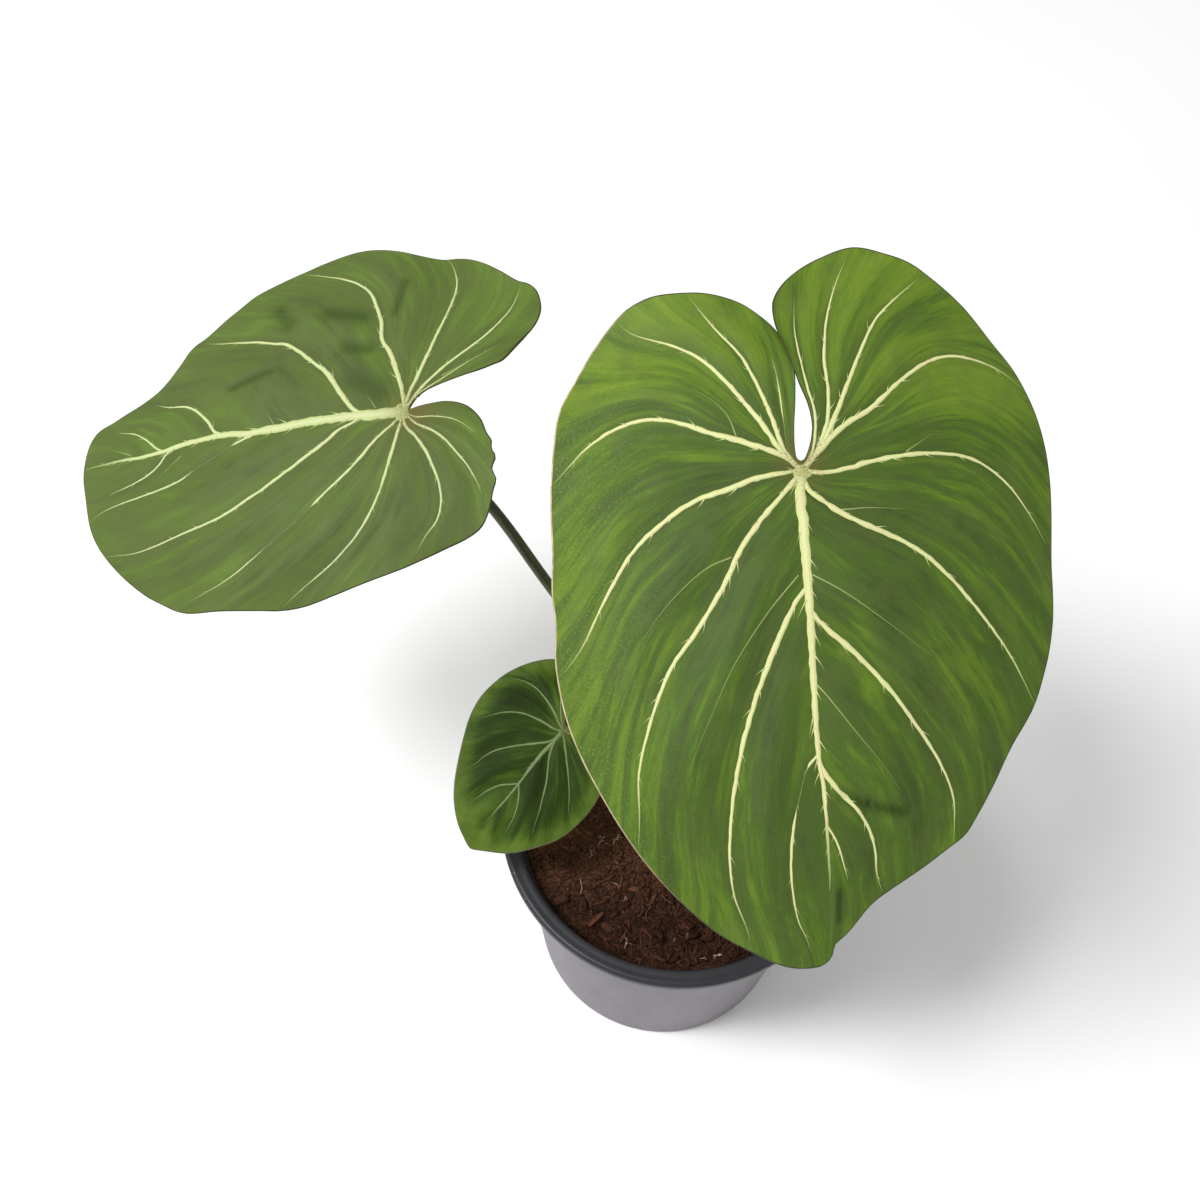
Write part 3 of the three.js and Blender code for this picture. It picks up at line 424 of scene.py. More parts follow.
class Build:
    """Collects the points, faces and per-point values of one piece."""

    def __init__(self, *values):
        self.points = []
        self.values = {name: [] for name in values}
        self.faces = []
        self.slots = []
        self.count = 0

    def add(self, points, faces, **values):
        points = np.asarray(points, float).reshape(-1, 3)
        self.points.append(points)
        self.faces += [[self.count + corner for corner in face] for face in faces]
        self.slots += [0] * len(faces)
        for name, kept in self.values.items():
            wide = (len(points), 3) if name == "flow" else (len(points),)
            kept.append(np.broadcast_to(np.asarray(values.get(name, 0), float), wide))
        self.count += len(points)

    def piece(self, name, materials, slot, replaces=(), transform=None, crease=None):
        """The piece as an object on the part's one body, with its CAD node where it replaces one."""
        points = np.concatenate(self.points)
        if transform is not None:
            points = points @ transform[:3, :3].T + transform[:3, 3]
        mesh = new_mesh(name, points, self.faces)
        for material in materials:
            mesh.materials.append(material)
        mesh.polygons.foreach_set("material_index", self.slots)
        for key, kept in self.values.items():
            kind, field = ("FLOAT_VECTOR", "vector") if key == "flow" else ("FLOAT", "value")
            attribute = mesh.attributes.new(key, kind, "POINT")
            attribute.data.foreach_set(field, np.concatenate(kept).astype(np.float32).ravel())
        mesh.polygons.foreach_set("use_smooth", [True] * len(mesh.polygons))
        if crease is not None:
            mesh.set_sharp_from_angle(angle=math.radians(crease))
        mesh.validate()
        mesh.update()
        piece = add_object(name, mesh)
        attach(piece, "root")
        if replaces:
            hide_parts(*replaces)
        return piece


class Path:
    """A smooth curve through its knots, read by the fraction of its length."""

    SAMPLES = 60

    def __init__(self, knots, closed=False):
        knots = np.asarray(knots, float)
        if closed:
            ring = np.vstack([knots[-1], knots, knots[:2]])
        else:
            ring = np.vstack([2 * knots[0] - knots[1], knots, 2 * knots[-1] - knots[-2]])
        parts = []
        share = np.linspace(0, 1, self.SAMPLES, endpoint=False)[:, None]
        for a, b, c, d in zip(ring, ring[1:], ring[2:], ring[3:]):
            before, here, after = (np.linalg.norm(q - p) ** 0.5 for p, q in ((a, b), (b, c), (c, d)))
            leave = ((b - a) / before - (c - a) / (before + here) + (c - b) / here) * here
            arrive = ((c - b) / here - (d - b) / (here + after) + (d - c) / after) * here
            square = -3 * b + 3 * c - 2 * leave - arrive
            cube = 2 * b - 2 * c + leave + arrive
            parts.append(b + share * (leave + share * (square + share * cube)))
        end = knots[:1] if closed else knots[-1:]
        self.line = np.vstack([*parts, end])
        steps = np.linalg.norm(np.diff(self.line, axis=0), axis=1)
        run = np.concatenate([[0], np.cumsum(steps)])
        self.length = run[-1]
        self.run = run / run[-1]

    def at(self, fraction):
        fraction = np.asarray(fraction, float)
        columns = [np.interp(fraction, self.run, column) for column in self.line.T]
        return np.stack(columns, axis=-1)

    def nearest(self, point):
        index = np.argmin(np.linalg.norm(self.line - np.asarray(point, float), axis=1))
        return self.run[index]

    def even(self, step, last=1, fewest=2):
        """Fractions from 0 to the last, about one step of millimetres apart."""
        return np.linspace(0, last, max(fewest, int(self.length * last / step)))


def tapered(thick, start):
    """The radius of a tube that starts at so many times its thickness and narrows evenly."""
    return lambda share: thick * (start - TAPER * share)


def tube(build, path, radius, sides, steps, ribs=0, rib_count=0, tone=0):
    """A closed round tube along a path. Radius and tone may follow the fraction of its length."""
    shares = np.linspace(0, 1, steps + 1)
    centres = path.at(shares)
    tangents = np.gradient(centres, axis=0)
    tangents /= np.linalg.norm(tangents, axis=1)[:, None]
    side = np.cross(tangents[0], (0, 0, 1))
    if np.linalg.norm(side) < 0.1:
        side = np.cross(tangents[0], (0, 1, 0))
    angles = 2 * np.pi * np.arange(sides) / sides
    points, flow, tones = [], [], []
    for centre, tangent, share in zip(centres, tangents, shares):
        side = side - tangent * (side @ tangent)
        side /= np.linalg.norm(side)
        other = np.cross(tangent, side)
        reach = radius(share) * (1 + ribs * np.cos(rib_count * angles))
        ring = np.outer(np.cos(angles) * reach, side) + np.outer(np.sin(angles) * reach, other)
        points.append(centre + ring)
        round_mm = angles * max(radius(share), 0.2)
        flow.append(np.stack([round_mm, np.full(sides, share * path.length), np.zeros(sides)], 1))
        tones.append(np.full(sides, tone(share) if callable(tone) else tone))
    faces = tube_faces(steps + 1, sides)
    build.add(np.vstack(points), faces, flow=np.vstack(flow), tone=np.concatenate(tones), bit=1)


# Leaves

BLADE_HALF = 0.35
MARGIN_BAND = 0.25
MARGIN_ROUND = 0.2
PANEL_BULGE = 0.055
WAVE_REACH = 40
RAY_STEPS = 54
NOTCH_COLUMNS = 8

# The painted shade beside a vein: its reach, which grows with the vein, and its depth on the lit side
SHADE_REACH = 1.05
LIT_REACH = 0.7
LIT_DEPTH = 0.3
SHADE_END = 0.25

# How far the pale glow along a margin reaches
GLOW_REACH = 5

# The middle of the stain at the joint, and its reach for each millimetre of the midrib's width
STAIN_PLACE = -2.5
STAIN_REACH = 1.9

# The rumples of a blade of this length: their rise, their size and their seed
RUMPLED_LENGTH = 140
RUMPLES = ((0.3, 15, 11), (0.1, 5, 12))


def vein(start, width, shown, points, gap=None):
    """A vein from its start on the midrib, drawn up to a share of its way to the margin."""
    return {"from": start, "width": width, "shown": shown, "points": points, "gap": gap}


def tip_line(start, points):
    """The undrawn line that carries the midrib on to the tip."""
    return vein(start, 0, 0, points)


LARGE_LEAF = {
    "joint": (22.6, 30.1, 290), "tip": (34.1, -89.7, 218), "bank": 0, "arch": 8, "fall": 0.0029,
    "wave": 1.3, "waves": 11, "spacing": 1.7, "knots": 60, "overlap": (-35, 12, -0.4, 0.8),
    "outline": [
        (-2.5, 0), (-3.2, -1.2), (-6.4, -1.7), (-13, -1.5), (-20, -0.7), (-28, -0.1), (-33, -0.3),
        (-38, -2.4), (-42, -4.5), (-46, -8.3), (-50.4, -14.4), (-53.3, -23), (-53.9, -31), (-53.2, -40),
        (-50.8, -45.8), (-48.5, -49), (-40, -56.2), (-30, -62.6), (-20, -68), (-10, -69.9), (5, -71.3),
        (22, -71.3), (33, -71.8), (42, -71.1), (52, -71.5), (60, -70.7), (70, -68.6), (80, -65),
        (90, -60.1), (100, -54.5), (110, -47.8), (120, -39.4), (130, -28.8), (136.2, -18.4),
        (140.3, -9.4), (141, -3), (140, 1.9), (137.5, 3.9), (134.6, 4.6), (131.6, 8.1), (123.4, 15.6),
        (120, 20.5), (114, 30), (108.5, 37.8), (104.7, 43.1), (99.4, 46.9), (90.3, 53.1), (80.6, 59),
        (70, 66.2), (60.6, 69.7), (45, 73.6), (30, 75.3), (10, 77), (-4.5, 76.4), (-18, 73.8),
        (-29.5, 69.4), (-38.6, 62.5), (-48.9, 53.8), (-58, 43.1), (-62, 37.5), (-65, 30), (-67.1, 20.5),
        (-63.6, 10), (-59.2, 2.5), (-54.5, -2.5), (-50, -5), (-45.5, -5.2), (-41, -4.3), (-36, -2.1),
        (-31, -0.5), (-26, 1), (-19, 3.4), (-13, 4.1), (-8, 3.2), (-4.8, 2), (-3.1, 1.1),
    ],
    "midrib": [
        (0, 0), (6, -0.9), (20, -0.7), (40, -0.3), (60, -0.2), (75, 0.2), (83, 0.9), (90, 1.9),
        (100, 2.5), (116, 3.3),
    ],
    "midrib_width": 3.4,
    "veins": [
        vein(0, 1, 0.6, [(-4.7, -3.3), (-16, -4.4), (-25, -5), (-33, -6.3), (-49, -12.5)], (0.08, 0.25)),
        vein(0, 1.7, 0.9, [
            (-4.8, -4.1), (-9.5, -5.9), (-18, -8.4), (-27, -11.9), (-34.5, -15.6), (-43.3, -22.8),
            (-53.5, -30),
        ]),
        vein(0, 2, 0.9, [
            (-4.4, -4.8), (-12, -9.4), (-19.2, -14.4), (-27.3, -20.6), (-33.8, -26.9), (-37.8, -33.8),
            (-42.6, -46), (-47, -51),
        ]),
        vein(0, 2.2, 0.92, [
            (-4.5, -5.6), (-8.2, -15), (-11.9, -26.2), (-15, -34), (-16.4, -42.5), (-14.9, -50),
            (-9.8, -59.4), (2, -70.8),
        ]),
        vein(0, 2.2, 0.9, [
            (0.8, -5.5), (1.8, -12.5), (5, -21.5), (8.3, -31.3), (13.9, -40), (22, -48.8), (35.2, -57),
            (49.4, -64.4), (58, -71),
        ]),
        vein(0, 2.1, 0.92, [
            (4.9, -4.1), (13.3, -11.9), (21.8, -18.4), (33, -24.4), (44.7, -31.9), (55, -39.4),
            (70, -45.6), (85, -49.3), (96, -49.4), (107, -49.8),
        ]),
        vein(33, 2, 0.9, [
            (37.5, -4.1), (50, -10.6), (63.8, -16.3), (78.8, -20.9), (95, -23.8), (110, -24.6),
            (120, -23.4), (129.4, -20), (136, -18.5),
        ]),
        vein(80, 1.4, 0.85, [
            (84, -2.6), (92, -5), (98.8, -6.6), (108, -7.6), (117.5, -7.4), (127, -5.8), (133, -3.2),
            (141, -1.5),
        ], (0.09, 0.22)),
        tip_line(116, [(128, 2.6), (140, 1.9)]),
        vein(100, 1, 0.5, [(105, 5.3), (111.3, 7.2), (118, 8.8), (128.5, 10.5)]),
        vein(82, 1.7, 0.9, [
            (86.9, 3.1), (92, 7.5), (96, 11.3), (102, 14.7), (108, 16.4), (114.4, 16.9), (121, 18.8),
        ]),
        vein(40, 2, 0.92, [
            (44.7, 3.8), (52.8, 12.5), (63, 21.6), (73, 28.8), (84, 35.6), (94.4, 39.5), (107.5, 39.5),
        ]),
        vein(0, 2.1, 0.92, [
            (5.5, 1.3), (9.3, 5.6), (13.6, 12), (18.3, 22), (23.9, 32.5), (31.1, 40.6), (42, 50),
            (55, 59.4), (69, 66.5),
        ]),
        vein(0, 2, 0.88, [
            (0.8, 4), (0.5, 10), (-2, 20), (-4, 33), (-4.2, 43), (-2.5, 52), (3.6, 61.3), (12.4, 68.1),
            (26, 75.6),
        ]),
        vein(0, 2.2, 0.9, [
            (-5, 5), (-12.3, 12.5), (-17.6, 21.3), (-26, 31.3), (-31, 38.8), (-33.6, 46.5), (-32.6, 56),
            (-28.9, 65), (-23, 72.3),
        ]),
        vein(0, 1.9, 0.9, [
            (-4.5, 4.4), (-13.9, 10), (-23.3, 14.4), (-33.9, 19.4), (-44.2, 25), (-51.1, 32), (-59, 42),
        ]),
        vein(0, 1.6, 0.88, [
            (-4.8, 4.2), (-14, 8.3), (-22, 9.3), (-33, 9), (-44.5, 10.6), (-55, 14), (-67, 20),
        ]),
        vein(0, 1.2, 0.8, [
            (-4.2, 2.9), (-9.5, 4.4), (-16.4, 4.9), (-24.5, 3.3), (-32, 2), (-41, 0.9), (-49, 1.3),
            (-59.5, 2),
        ]),
    ],
    "threads": [
        [(30, -3), (40.6, -12.5), (55, -22.5), (68, -28.8), (79.4, -33.8), (87, -36.3)],
        [(30, 1), (34.7, 9), (44.4, 22), (54, 33.8)],
        [(60.5, 0.6), (64.4, 3.8), (74.4, 11.3), (84, 18.8), (91, 23.5)],
        [(24.3, -21.3), (27, -28), (33.6, -36.3), (41, -43), (50, -49)],
        [(-10, -18), (-16, -20), (-21, -24), (-25, -30)], [(11.8, 10.5), (11.4, 18), (12, 30)],
        [(-4.8, 31), (-10.4, 40)],
    ],
    "creases": [
        (92, 7, 95, 15, 0.9, 1.3), (95, 15, 97.5, 25, 1.5, 1.6), (119.5, 6, 127.5, 6, 0.5, 1.2),
    ],
    # Where the green is paler: partly the leaf's own colour, partly painted light on its sides and lobes
    "pale_side": (-74, -20), "far_side_painted_light": (12, 62), "pale_tip": (95, 150), "rim_glow": 0,
    "pale_back": (-4, -36), "lobe_painted_light": 1.3, "tip_shown": 0.12,
}

LEFT_LEAF = {
    "joint": (-99.1, 75, 250), "tip": (-215, 77.7, 205), "bank": -14, "arch": 7, "fall": 0.0022,
    "wave": 1.3, "waves": 9, "spacing": 1.7, "knots": 60, "overlap": (-30, 10, 0, 0),
    "outline": [
        (-1.8, -1), (-3.5, -4.6), (-7.3, -7.4), (-14.2, -10), (-18.8, -11.6), (-23.5, -13), (-28, -15),
        (-31, -16.6), (-34, -20.5), (-38, -25.5), (-41, -29.5), (-42.6, -33.5), (-42.7, -37),
        (-41.3, -42), (-38.5, -45), (-35, -46.5), (-28, -52.3), (-22, -56.7), (-16.5, -59.4),
        (-12.5, -60.2), (-8.5, -60), (-5, -60.7), (0, -62.2), (7, -64.4), (12, -65.4), (18, -66),
        (26, -65.5), (36, -63.5), (44.5, -60.8), (51.5, -57.5), (57, -54), (63, -48.1), (70.8, -41.5),
        (75, -39), (78.5, -37.8), (81.5, -36), (86, -30.9), (93, -23), (99, -18.6), (105.5, -15.7),
        (111.5, -13.6), (115.5, -12.9), (118.5, -11.8), (121.5, -9.2), (123.5, -5.3), (124.3, 0),
        (124.2, 5), (123, 11), (120.8, 18.3), (117, 26), (110.8, 34.8), (103.8, 42.5), (95.4, 49.5),
        (88, 53.8), (83, 56.4), (77, 58.3), (63, 59.6), (51.5, 60.5), (44, 61), (36.5, 60.5), (24, 57.9),
        (13.5, 55.5), (3.5, 52.5), (-4, 49.4), (-12, 45.7), (-18.5, 42.9), (-23, 40), (-25.5, 36.5),
        (-27.3, 32), (-28.2, 29), (-29.5, 25.5), (-28.3, 21.8), (-29.6, 18), (-28.1, 14.8),
        (-28.2, 12.4), (-26.5, 9.3), (-24.4, 4.1), (-20.8, -0.2), (-18, -1.9), (-13.5, -2.9), (-8, -2.4),
        (-4, -1.6),
    ],
    "midrib": [
        (0, 0), (10, 0.1), (20, 0), (30, 0.4), (40, 1), (50, 1.4), (55, 1.4), (60, 0.6), (65, 0.2),
        (70, 0.4), (78, 0.9), (85, 1.6), (92, 2), (98, 2), (104, 1.4), (115, 0.8),
    ],
    "midrib_width": 4,
    "veins": [
        vein(0, 0.7, 0.7, [(-4, -5.5), (-12, -11), (-19.2, -15.9), (-27.7, -21), (-39, -28)]),
        vein(0, 1.4, 0.92, [
            (-5, -7.5), (-12.3, -15.2), (-18.1, -19.8), (-25.4, -25.9), (-30, -30.7), (-33.5, -35.5),
            (-35.6, -41), (-36.5, -46),
        ]),
        vein(0, 1.7, 0.93, [
            (-1.2, -5.2), (-4.5, -13.6), (-8.8, -25.9), (-11.9, -35.2), (-14.1, -44.4), (-13.8, -50.5),
            (-11.2, -57.5), (-9, -60),
        ]),
        vein(0, 2.1, 0.9, [
            (0.4, -5.9), (2.9, -15.2), (5.4, -22.1), (8.4, -27.5), (9.4, -34.5), (12.2, -42.1),
            (14.8, -47.5), (19.2, -51.7), (25.2, -55.2), (32, -57.7), (43, -61.3),
        ]),
        vein(12, 2.2, 0.88, [
            (14.8, -1.3), (16.8, -2.7), (20.4, -7.5), (26.2, -16.7), (31.2, -21.3), (36.7, -26.3),
            (42.7, -30.5), (46.9, -31.5), (53.8, -33.4), (60.8, -34.5), (68.5, -35.7), (78, -38),
        ]),
        vein(62, 1.6, 0.78, [
            (66.3, -1.3), (70, -6.3), (75, -10.9), (77.5, -12.5), (80.4, -13.6), (86.9, -14.7),
            (98, -19),
        ]),
        vein(87, 1, 0.7, [
            (90.2, 0.1), (94.4, -3.6), (99.2, -6.8), (101.9, -8), (108.5, -9.5), (115, -13),
        ]),
        tip_line(115, [(124.3, 0.3)]),
        vein(82, 1.1, 0.65, [
            (85.4, 2.9), (89.1, 6.8), (94.2, 9.5), (101.5, 11.4), (110, 12.5), (122.4, 13.5),
        ]),
        vein(48, 1.3, 0.92, [
            (52.7, 2.5), (58.8, 4.6), (66, 8), (73.2, 11), (78.8, 13.6), (85.4, 15.1), (96.9, 16.4),
            (112.7, 18.3), (119.6, 20.8),
        ], (0.17, 0.33)),
        vein(14, 1.6, 0.94, [
            (16.5, 2.2), (21, 4.2), (25.4, 7.9), (33.3, 13.1), (42.3, 18.7), (51.5, 23.8), (62.3, 28.7),
            (76.9, 32.2), (89.2, 34.8), (97.7, 35.8), (110.8, 34.8),
        ]),
        vein(0, 1.3, 0.88, [
            (2.7, 3.3), (7.9, 7.9), (15.5, 16.4), (23.7, 23.7), (31.9, 30.6), (39.4, 36), (49.1, 42.2),
            (58.5, 47.9), (66.2, 51.4), (75.4, 54.1), (83, 56.4),
        ], (0.43, 0.56)),
        vein(0, 1.3, 0.9, [
            (1.2, 4.8), (4.2, 15.6), (8.1, 27.2), (14.6, 38.7), (20.4, 44.8), (26.5, 49.8), (35.8, 55.6),
            (44, 61),
        ]),
        vein(0, 1.5, 0.85, [
            (-0.6, 4.8), (-3.8, 8.7), (-6.9, 13.3), (-9.5, 19.5), (-11.4, 25.6), (-11.8, 31.8),
            (-10.2, 37.2), (-6.5, 41.8), (-1, 50.8),
        ]),
        vein(0, 1.2, 0.8, [
            (-4.2, 4.5), (-7.3, 6), (-12.1, 9.3), (-16.7, 14.8), (-20.5, 20.2), (-23.8, 27.2),
            (-25.5, 36.5),
        ]),
        vein(0, 0.8, 0.75, [(-3.9, 2), (-9.4, 2.3), (-16, 3.8), (-22, 8), (-28.5, 14)]),
    ],
    "threads": [
        [(-12, -12), (-28, -21)], [(79, 5), (88, 12)], [(9.6, -36), (8, -38.5)],
        [(101, 0.5), (107, -2), (110.8, -3.6)], [(9.2, -2.2), (12.5, -7.5)],
        [(43.8, -0.2), (46.2, -4.4)],
    ],
    "creases": [
        (13, -25, 19, -26, 1.2, 3), (5, -38, 2, -50, 0.7, 1.5), (47, -20, 60, -16, 0.8, 1.6),
        (16, -38, 27, -40, 0.8, 3), (42, -38, 46, -44, 0.8, 3), (8, -8, 16, -14, 0.5, 5),
    ],
    "pale_side": (-80, -40), "far_side_painted_light": (50, 90), "pale_tip": (110, 170), "rim_glow": 0.1,
    "pale_back": (-2, -28), "lobe_painted_light": 0.55, "tip_shown": 0.85,
}

SMALL_LEAF = {
    "joint": (-43.5, 10.3, 156), "tip": (-73.5, -26.9, 134), "bank": -15, "arch": 2.5, "fall": 0.003,
    "wave": 0.6, "waves": 7, "spacing": 1.1, "knots": 36, "overlap": (-12, 6, 0, 0),
    "outline": [
        (-2, 0), (-5, -3), (-11, -4.5), (-17, -7.5), (-20, -13), (-18, -18), (-14, -22.4), (-8, -26.5),
        (-0.5, -29.5), (9, -30.6), (17, -29), (22, -27), (30.7, -23.1), (34.8, -21), (38.5, -18.8),
        (41.6, -16.5), (44.4, -14), (46.9, -11.3), (49.1, -8.4), (50.8, -5.2), (52.2, -2.5),
        (52.7, -0.4), (51.9, 1.2), (50, 4.4), (46.2, 10.3), (42.6, 13.9), (36.7, 18.4), (31.7, 21.6),
        (25.8, 23.6), (17, 24.6), (9.6, 24), (0, 22.5), (-9, 19.5), (-15, 14.5), (-16.5, 9), (-13, 4.5),
        (-7, 2.3),
    ],
    "midrib": [(0, 0), (7, -0.6), (11, -1), (28, -1), (41, -1.8)],
    "midrib_width": 1.6,
    "veins": [
        vein(0, 0.9, 0.7, [(-5, -5), (-10, -9), (-18.5, -17)]),
        vein(0, 1.1, 0.86, [
            (-1.3, -2.9), (-3.7, -7.5), (-5.3, -12.5), (-6, -16.8), (-5.5, -21.1), (-3.8, -25.2),
            (-0.5, -29.5),
        ]),
        vein(0, 1.1, 0.86, [
            (1.1, -2.5), (2.1, -9.3), (4.3, -16.1), (8.3, -21.3), (13.9, -25.6), (17, -29),
        ]),
        vein(3, 1.1, 0.86, [
            (6.1, -1.8), (9.1, -4.7), (12.6, -8.4), (16, -11.5), (19.7, -14.5), (23.9, -16.5),
            (28.7, -17.6), (33.5, -21.8),
        ]),
        vein(24, 0.9, 0.75, [(25.6, -2.7), (28.2, -5.6), (32.1, -7.9), (36.9, -9.5), (46, -12.4)]),
        tip_line(41, [(52.7, -0.6)]),
        vein(24, 0.9, 0.75, [
            (25.7, 0.5), (29, 2.7), (32.8, 4.4), (37.1, 5.4), (41.6, 6.2), (48.3, 7.5),
        ]),
        vein(0, 1, 0.85, [
            (5.3, 0.2), (9.3, 1.4), (13.5, 3.9), (17.5, 6.4), (22.1, 8.5), (26.9, 10.6), (33.5, 13),
            (40, 16),
        ]),
        vein(0, 1, 0.8, [(1.3, 1.2), (4.7, 4.8), (10.3, 10.3), (15.6, 15), (19.8, 18), (27.5, 23.2)]),
        vein(0, 0.9, 0.7, [(-1, 3.5), (-2, 9), (-0.5, 15), (4, 23.3)]),
        vein(0, 0.9, 0.7, [(-4, 3.2), (-8, 6.5), (-11, 10.5), (-13.5, 16)]),
    ],
    "threads": [],
    "creases": [],
    "pale_side": (-60, -50), "far_side_painted_light": (40, 60), "pale_tip": (22, 58), "rim_glow": 0.8,
    "pale_back": (-60, -90), "lobe_painted_light": 0, "tip_shown": 0.3,
}


def leaf_frame(leaf):
    """From the leaf's own millimetres, joint at the origin and tip along +X, to the row frame."""
    joint = np.array(leaf["joint"], float)
    along = np.array(leaf["tip"], float) - joint
    leaf["length"] = np.linalg.norm(along)
    along /= leaf["length"]
    level = np.cross((0, 0, 1), along)
    level /= np.linalg.norm(level)
    up = np.cross(along, level)
    bank = math.radians(leaf["bank"])
    across = level * math.cos(bank) + up * math.sin(bank)
    matrix = np.eye(4)
    matrix[:3] = np.column_stack([along, across, np.cross(along, across), joint])
    return matrix


def nearness(line, width, x, y):
    """1 on a crease's line, and less away from it, to nothing past its width."""
    x0, y0, x1, y1 = line
    run = np.array([x1 - x0, y1 - y0])
    share = np.clip(((x - x0) * run[0] + (y - y0) * run[1]) / (run @ run), 0, 1)
    away = np.hypot(x - x0 - share * run[0], y - y0 - share * run[1])
    return np.exp(-((away / width) ** 2))


def blade_height(leaf, x, y):
    """The height of the blade's middle over its flat outline, without bulges and waves."""
    slope = 4 * leaf["arch"] / leaf["length"]
    arch = np.where(x > 0, slope * x * (1 - x / leaf["length"]), slope * x)
    height = arch - leaf["fall"] * y * y
    size = leaf["length"] / RUMPLED_LENGTH
    for rise, cell, seed in RUMPLES:
        height = height + rise * size * lattice_noise(x, y, cell * size, seed)
    for *line, depth, width in leaf["creases"]:
        height = height - depth * nearness(line, width, x, y)
    return height


def margin_wave(leaf, turn, share, length):
    """The rise and fall of the blade near its margin."""
    reach = np.minimum(1, length / WAVE_REACH)
    return leaf["wave"] * reach * share**3 * np.sin(2 * np.pi * leaf["waves"] * turn)


def paleness_and_painted_light(leaf, x, y):
    """How pale the green is, partly the leaf's own colour and partly painted light, and how pink the
    margin: more at the leaf's sides, tip and margin.
    """
    rim = KDTree(len(leaf["rim"].line))
    for index, point in enumerate(leaf["rim"].line):
        rim.insert((*point, 0), index)
    rim.balance()
    away = np.array([rim.find((px, py, 0))[2] for px, py in zip(x, y)])
    glow = leaf["rim_glow"] * np.exp(-((away / GLOW_REACH) ** 2))
    side, tip = 1 - smooth(*leaf["pale_side"], y), smooth(*leaf["pale_tip"], x)
    sides = 0.8 * (side + smooth(*leaf["far_side_painted_light"], y))
    lobes = leaf["lobe_painted_light"] * smooth(*leaf["pale_back"], x)
    return np.clip(sides + 0.6 * tip + lobes + glow, 0, 1.6), np.clip(side + 0.3 * tip + glow, 0, 1)


def dents(leaf, x, y):
    """How deep in a crease or dent a point lies, from 0 to 1, which sets the painted shade there."""
    deepest = np.zeros(np.shape(x))
    for *line, _, width in leaf["creases"]:
        deepest = np.maximum(deepest, nearness(line, width, x, y))
    return deepest


def joint_stain(leaf, x, y):
    """How brown the blade and its veins are: only close to the stalk's joint and the notch."""
    reach = STAIN_REACH * leaf["midrib_width"]
    return np.exp(-((np.hypot(x - STAIN_PLACE, y) / reach) ** 2))


def main_rays(leaf):
    """Each vein carried on to the margin, in its order round the outline."""
    mains = []
    for kept in leaf["veins"]:
        start = kept["from"] / leaf["midrib"][-1][0]
        turn = leaf["rim"].nearest(kept["points"][-1])
        knots = [leaf["spine"].at(start), *kept["points"][:-1], leaf["rim"].at(turn)]
        mains.append({**kept, "start": start, "turn": turn, "path": Path(knots)})
    return mains


def leaf_rays(leaf):
    """Rays from the midrib to the margin, blended between the veins on either side."""
    leaf["rim"], leaf["spine"] = Path(leaf["outline"], True), Path(leaf["midrib"])
    leaf["mains"] = mains = main_rays(leaf)
    leaf["tip_line"] = next(main for main in mains if not main["width"])
    rays = []
    for here, beside in zip(mains, [*mains[1:], mains[-1]]):
        count = max(1, round((beside["turn"] - here["turn"]) * leaf["rim"].length / leaf["spacing"]))
        for share in np.arange(count) / count:
            rays.append(blended_ray(leaf, here, beside, share))
    return rays


def vein_shade(main, away, s, lit):
    """How dark the painted shade beside a vein is. Its side towards the tip is painted as the lit one.
    """
    reach = (LIT_REACH if lit else SHADE_REACH) * (1 + main["width"])
    depth = (LIT_DEPTH if lit else 1) * (1 - smooth(main["shown"] - SHADE_END, main["shown"], s))
    return depth * np.exp(-((away / reach) ** 2)) * (main["width"] > 0)


def blended_ray(leaf, here, beside, share):
    """A ray part-way from one vein to the next, with the blade's height and painted shade along it."""
    turn, start = (here[key] * (1 - share) + beside[key] * share for key in ("turn", "start"))
    knot = round(start * leaf["knots"])
    margin, root = leaf["rim"].at(turn), leaf["spine"].at(knot / leaf["knots"])
    length = np.linalg.norm(margin - root)
    s = np.append(np.linspace(0, 1 - MARGIN_BAND / length, RAY_STEPS), 1)
    first, second = here["path"].at(s), beside["path"].at(s)
    gap = np.linalg.norm(first - second, axis=1)
    points = first * (1 - share) + second * share
    points += np.outer(s**3, margin - points[-1]) + np.outer((1 - s) ** 3, root - points[0])
    height = blade_height(leaf, *points.T)
    height += PANEL_BULGE * gap * math.sin(math.pi * share) ** 2 * np.sin(np.pi * s)
    height += margin_wave(leaf, turn, s, length)
    before_tip = turn < leaf["tip_line"]["turn"]
    painted_vein_shade = vein_shade(here, gap * share, s, before_tip)
    painted_vein_shade += vein_shade(beside, gap * (1 - share), s, not before_tip)
    return {
        "knot": knot, "turn": turn, "points": np.column_stack([points, height]),
        "flow": np.column_stack([np.full(len(s), turn * leaf["rim"].length), s * length, 0 * s]),
        "painted_vein_shade": np.clip(painted_vein_shade, 0, 1),
    }


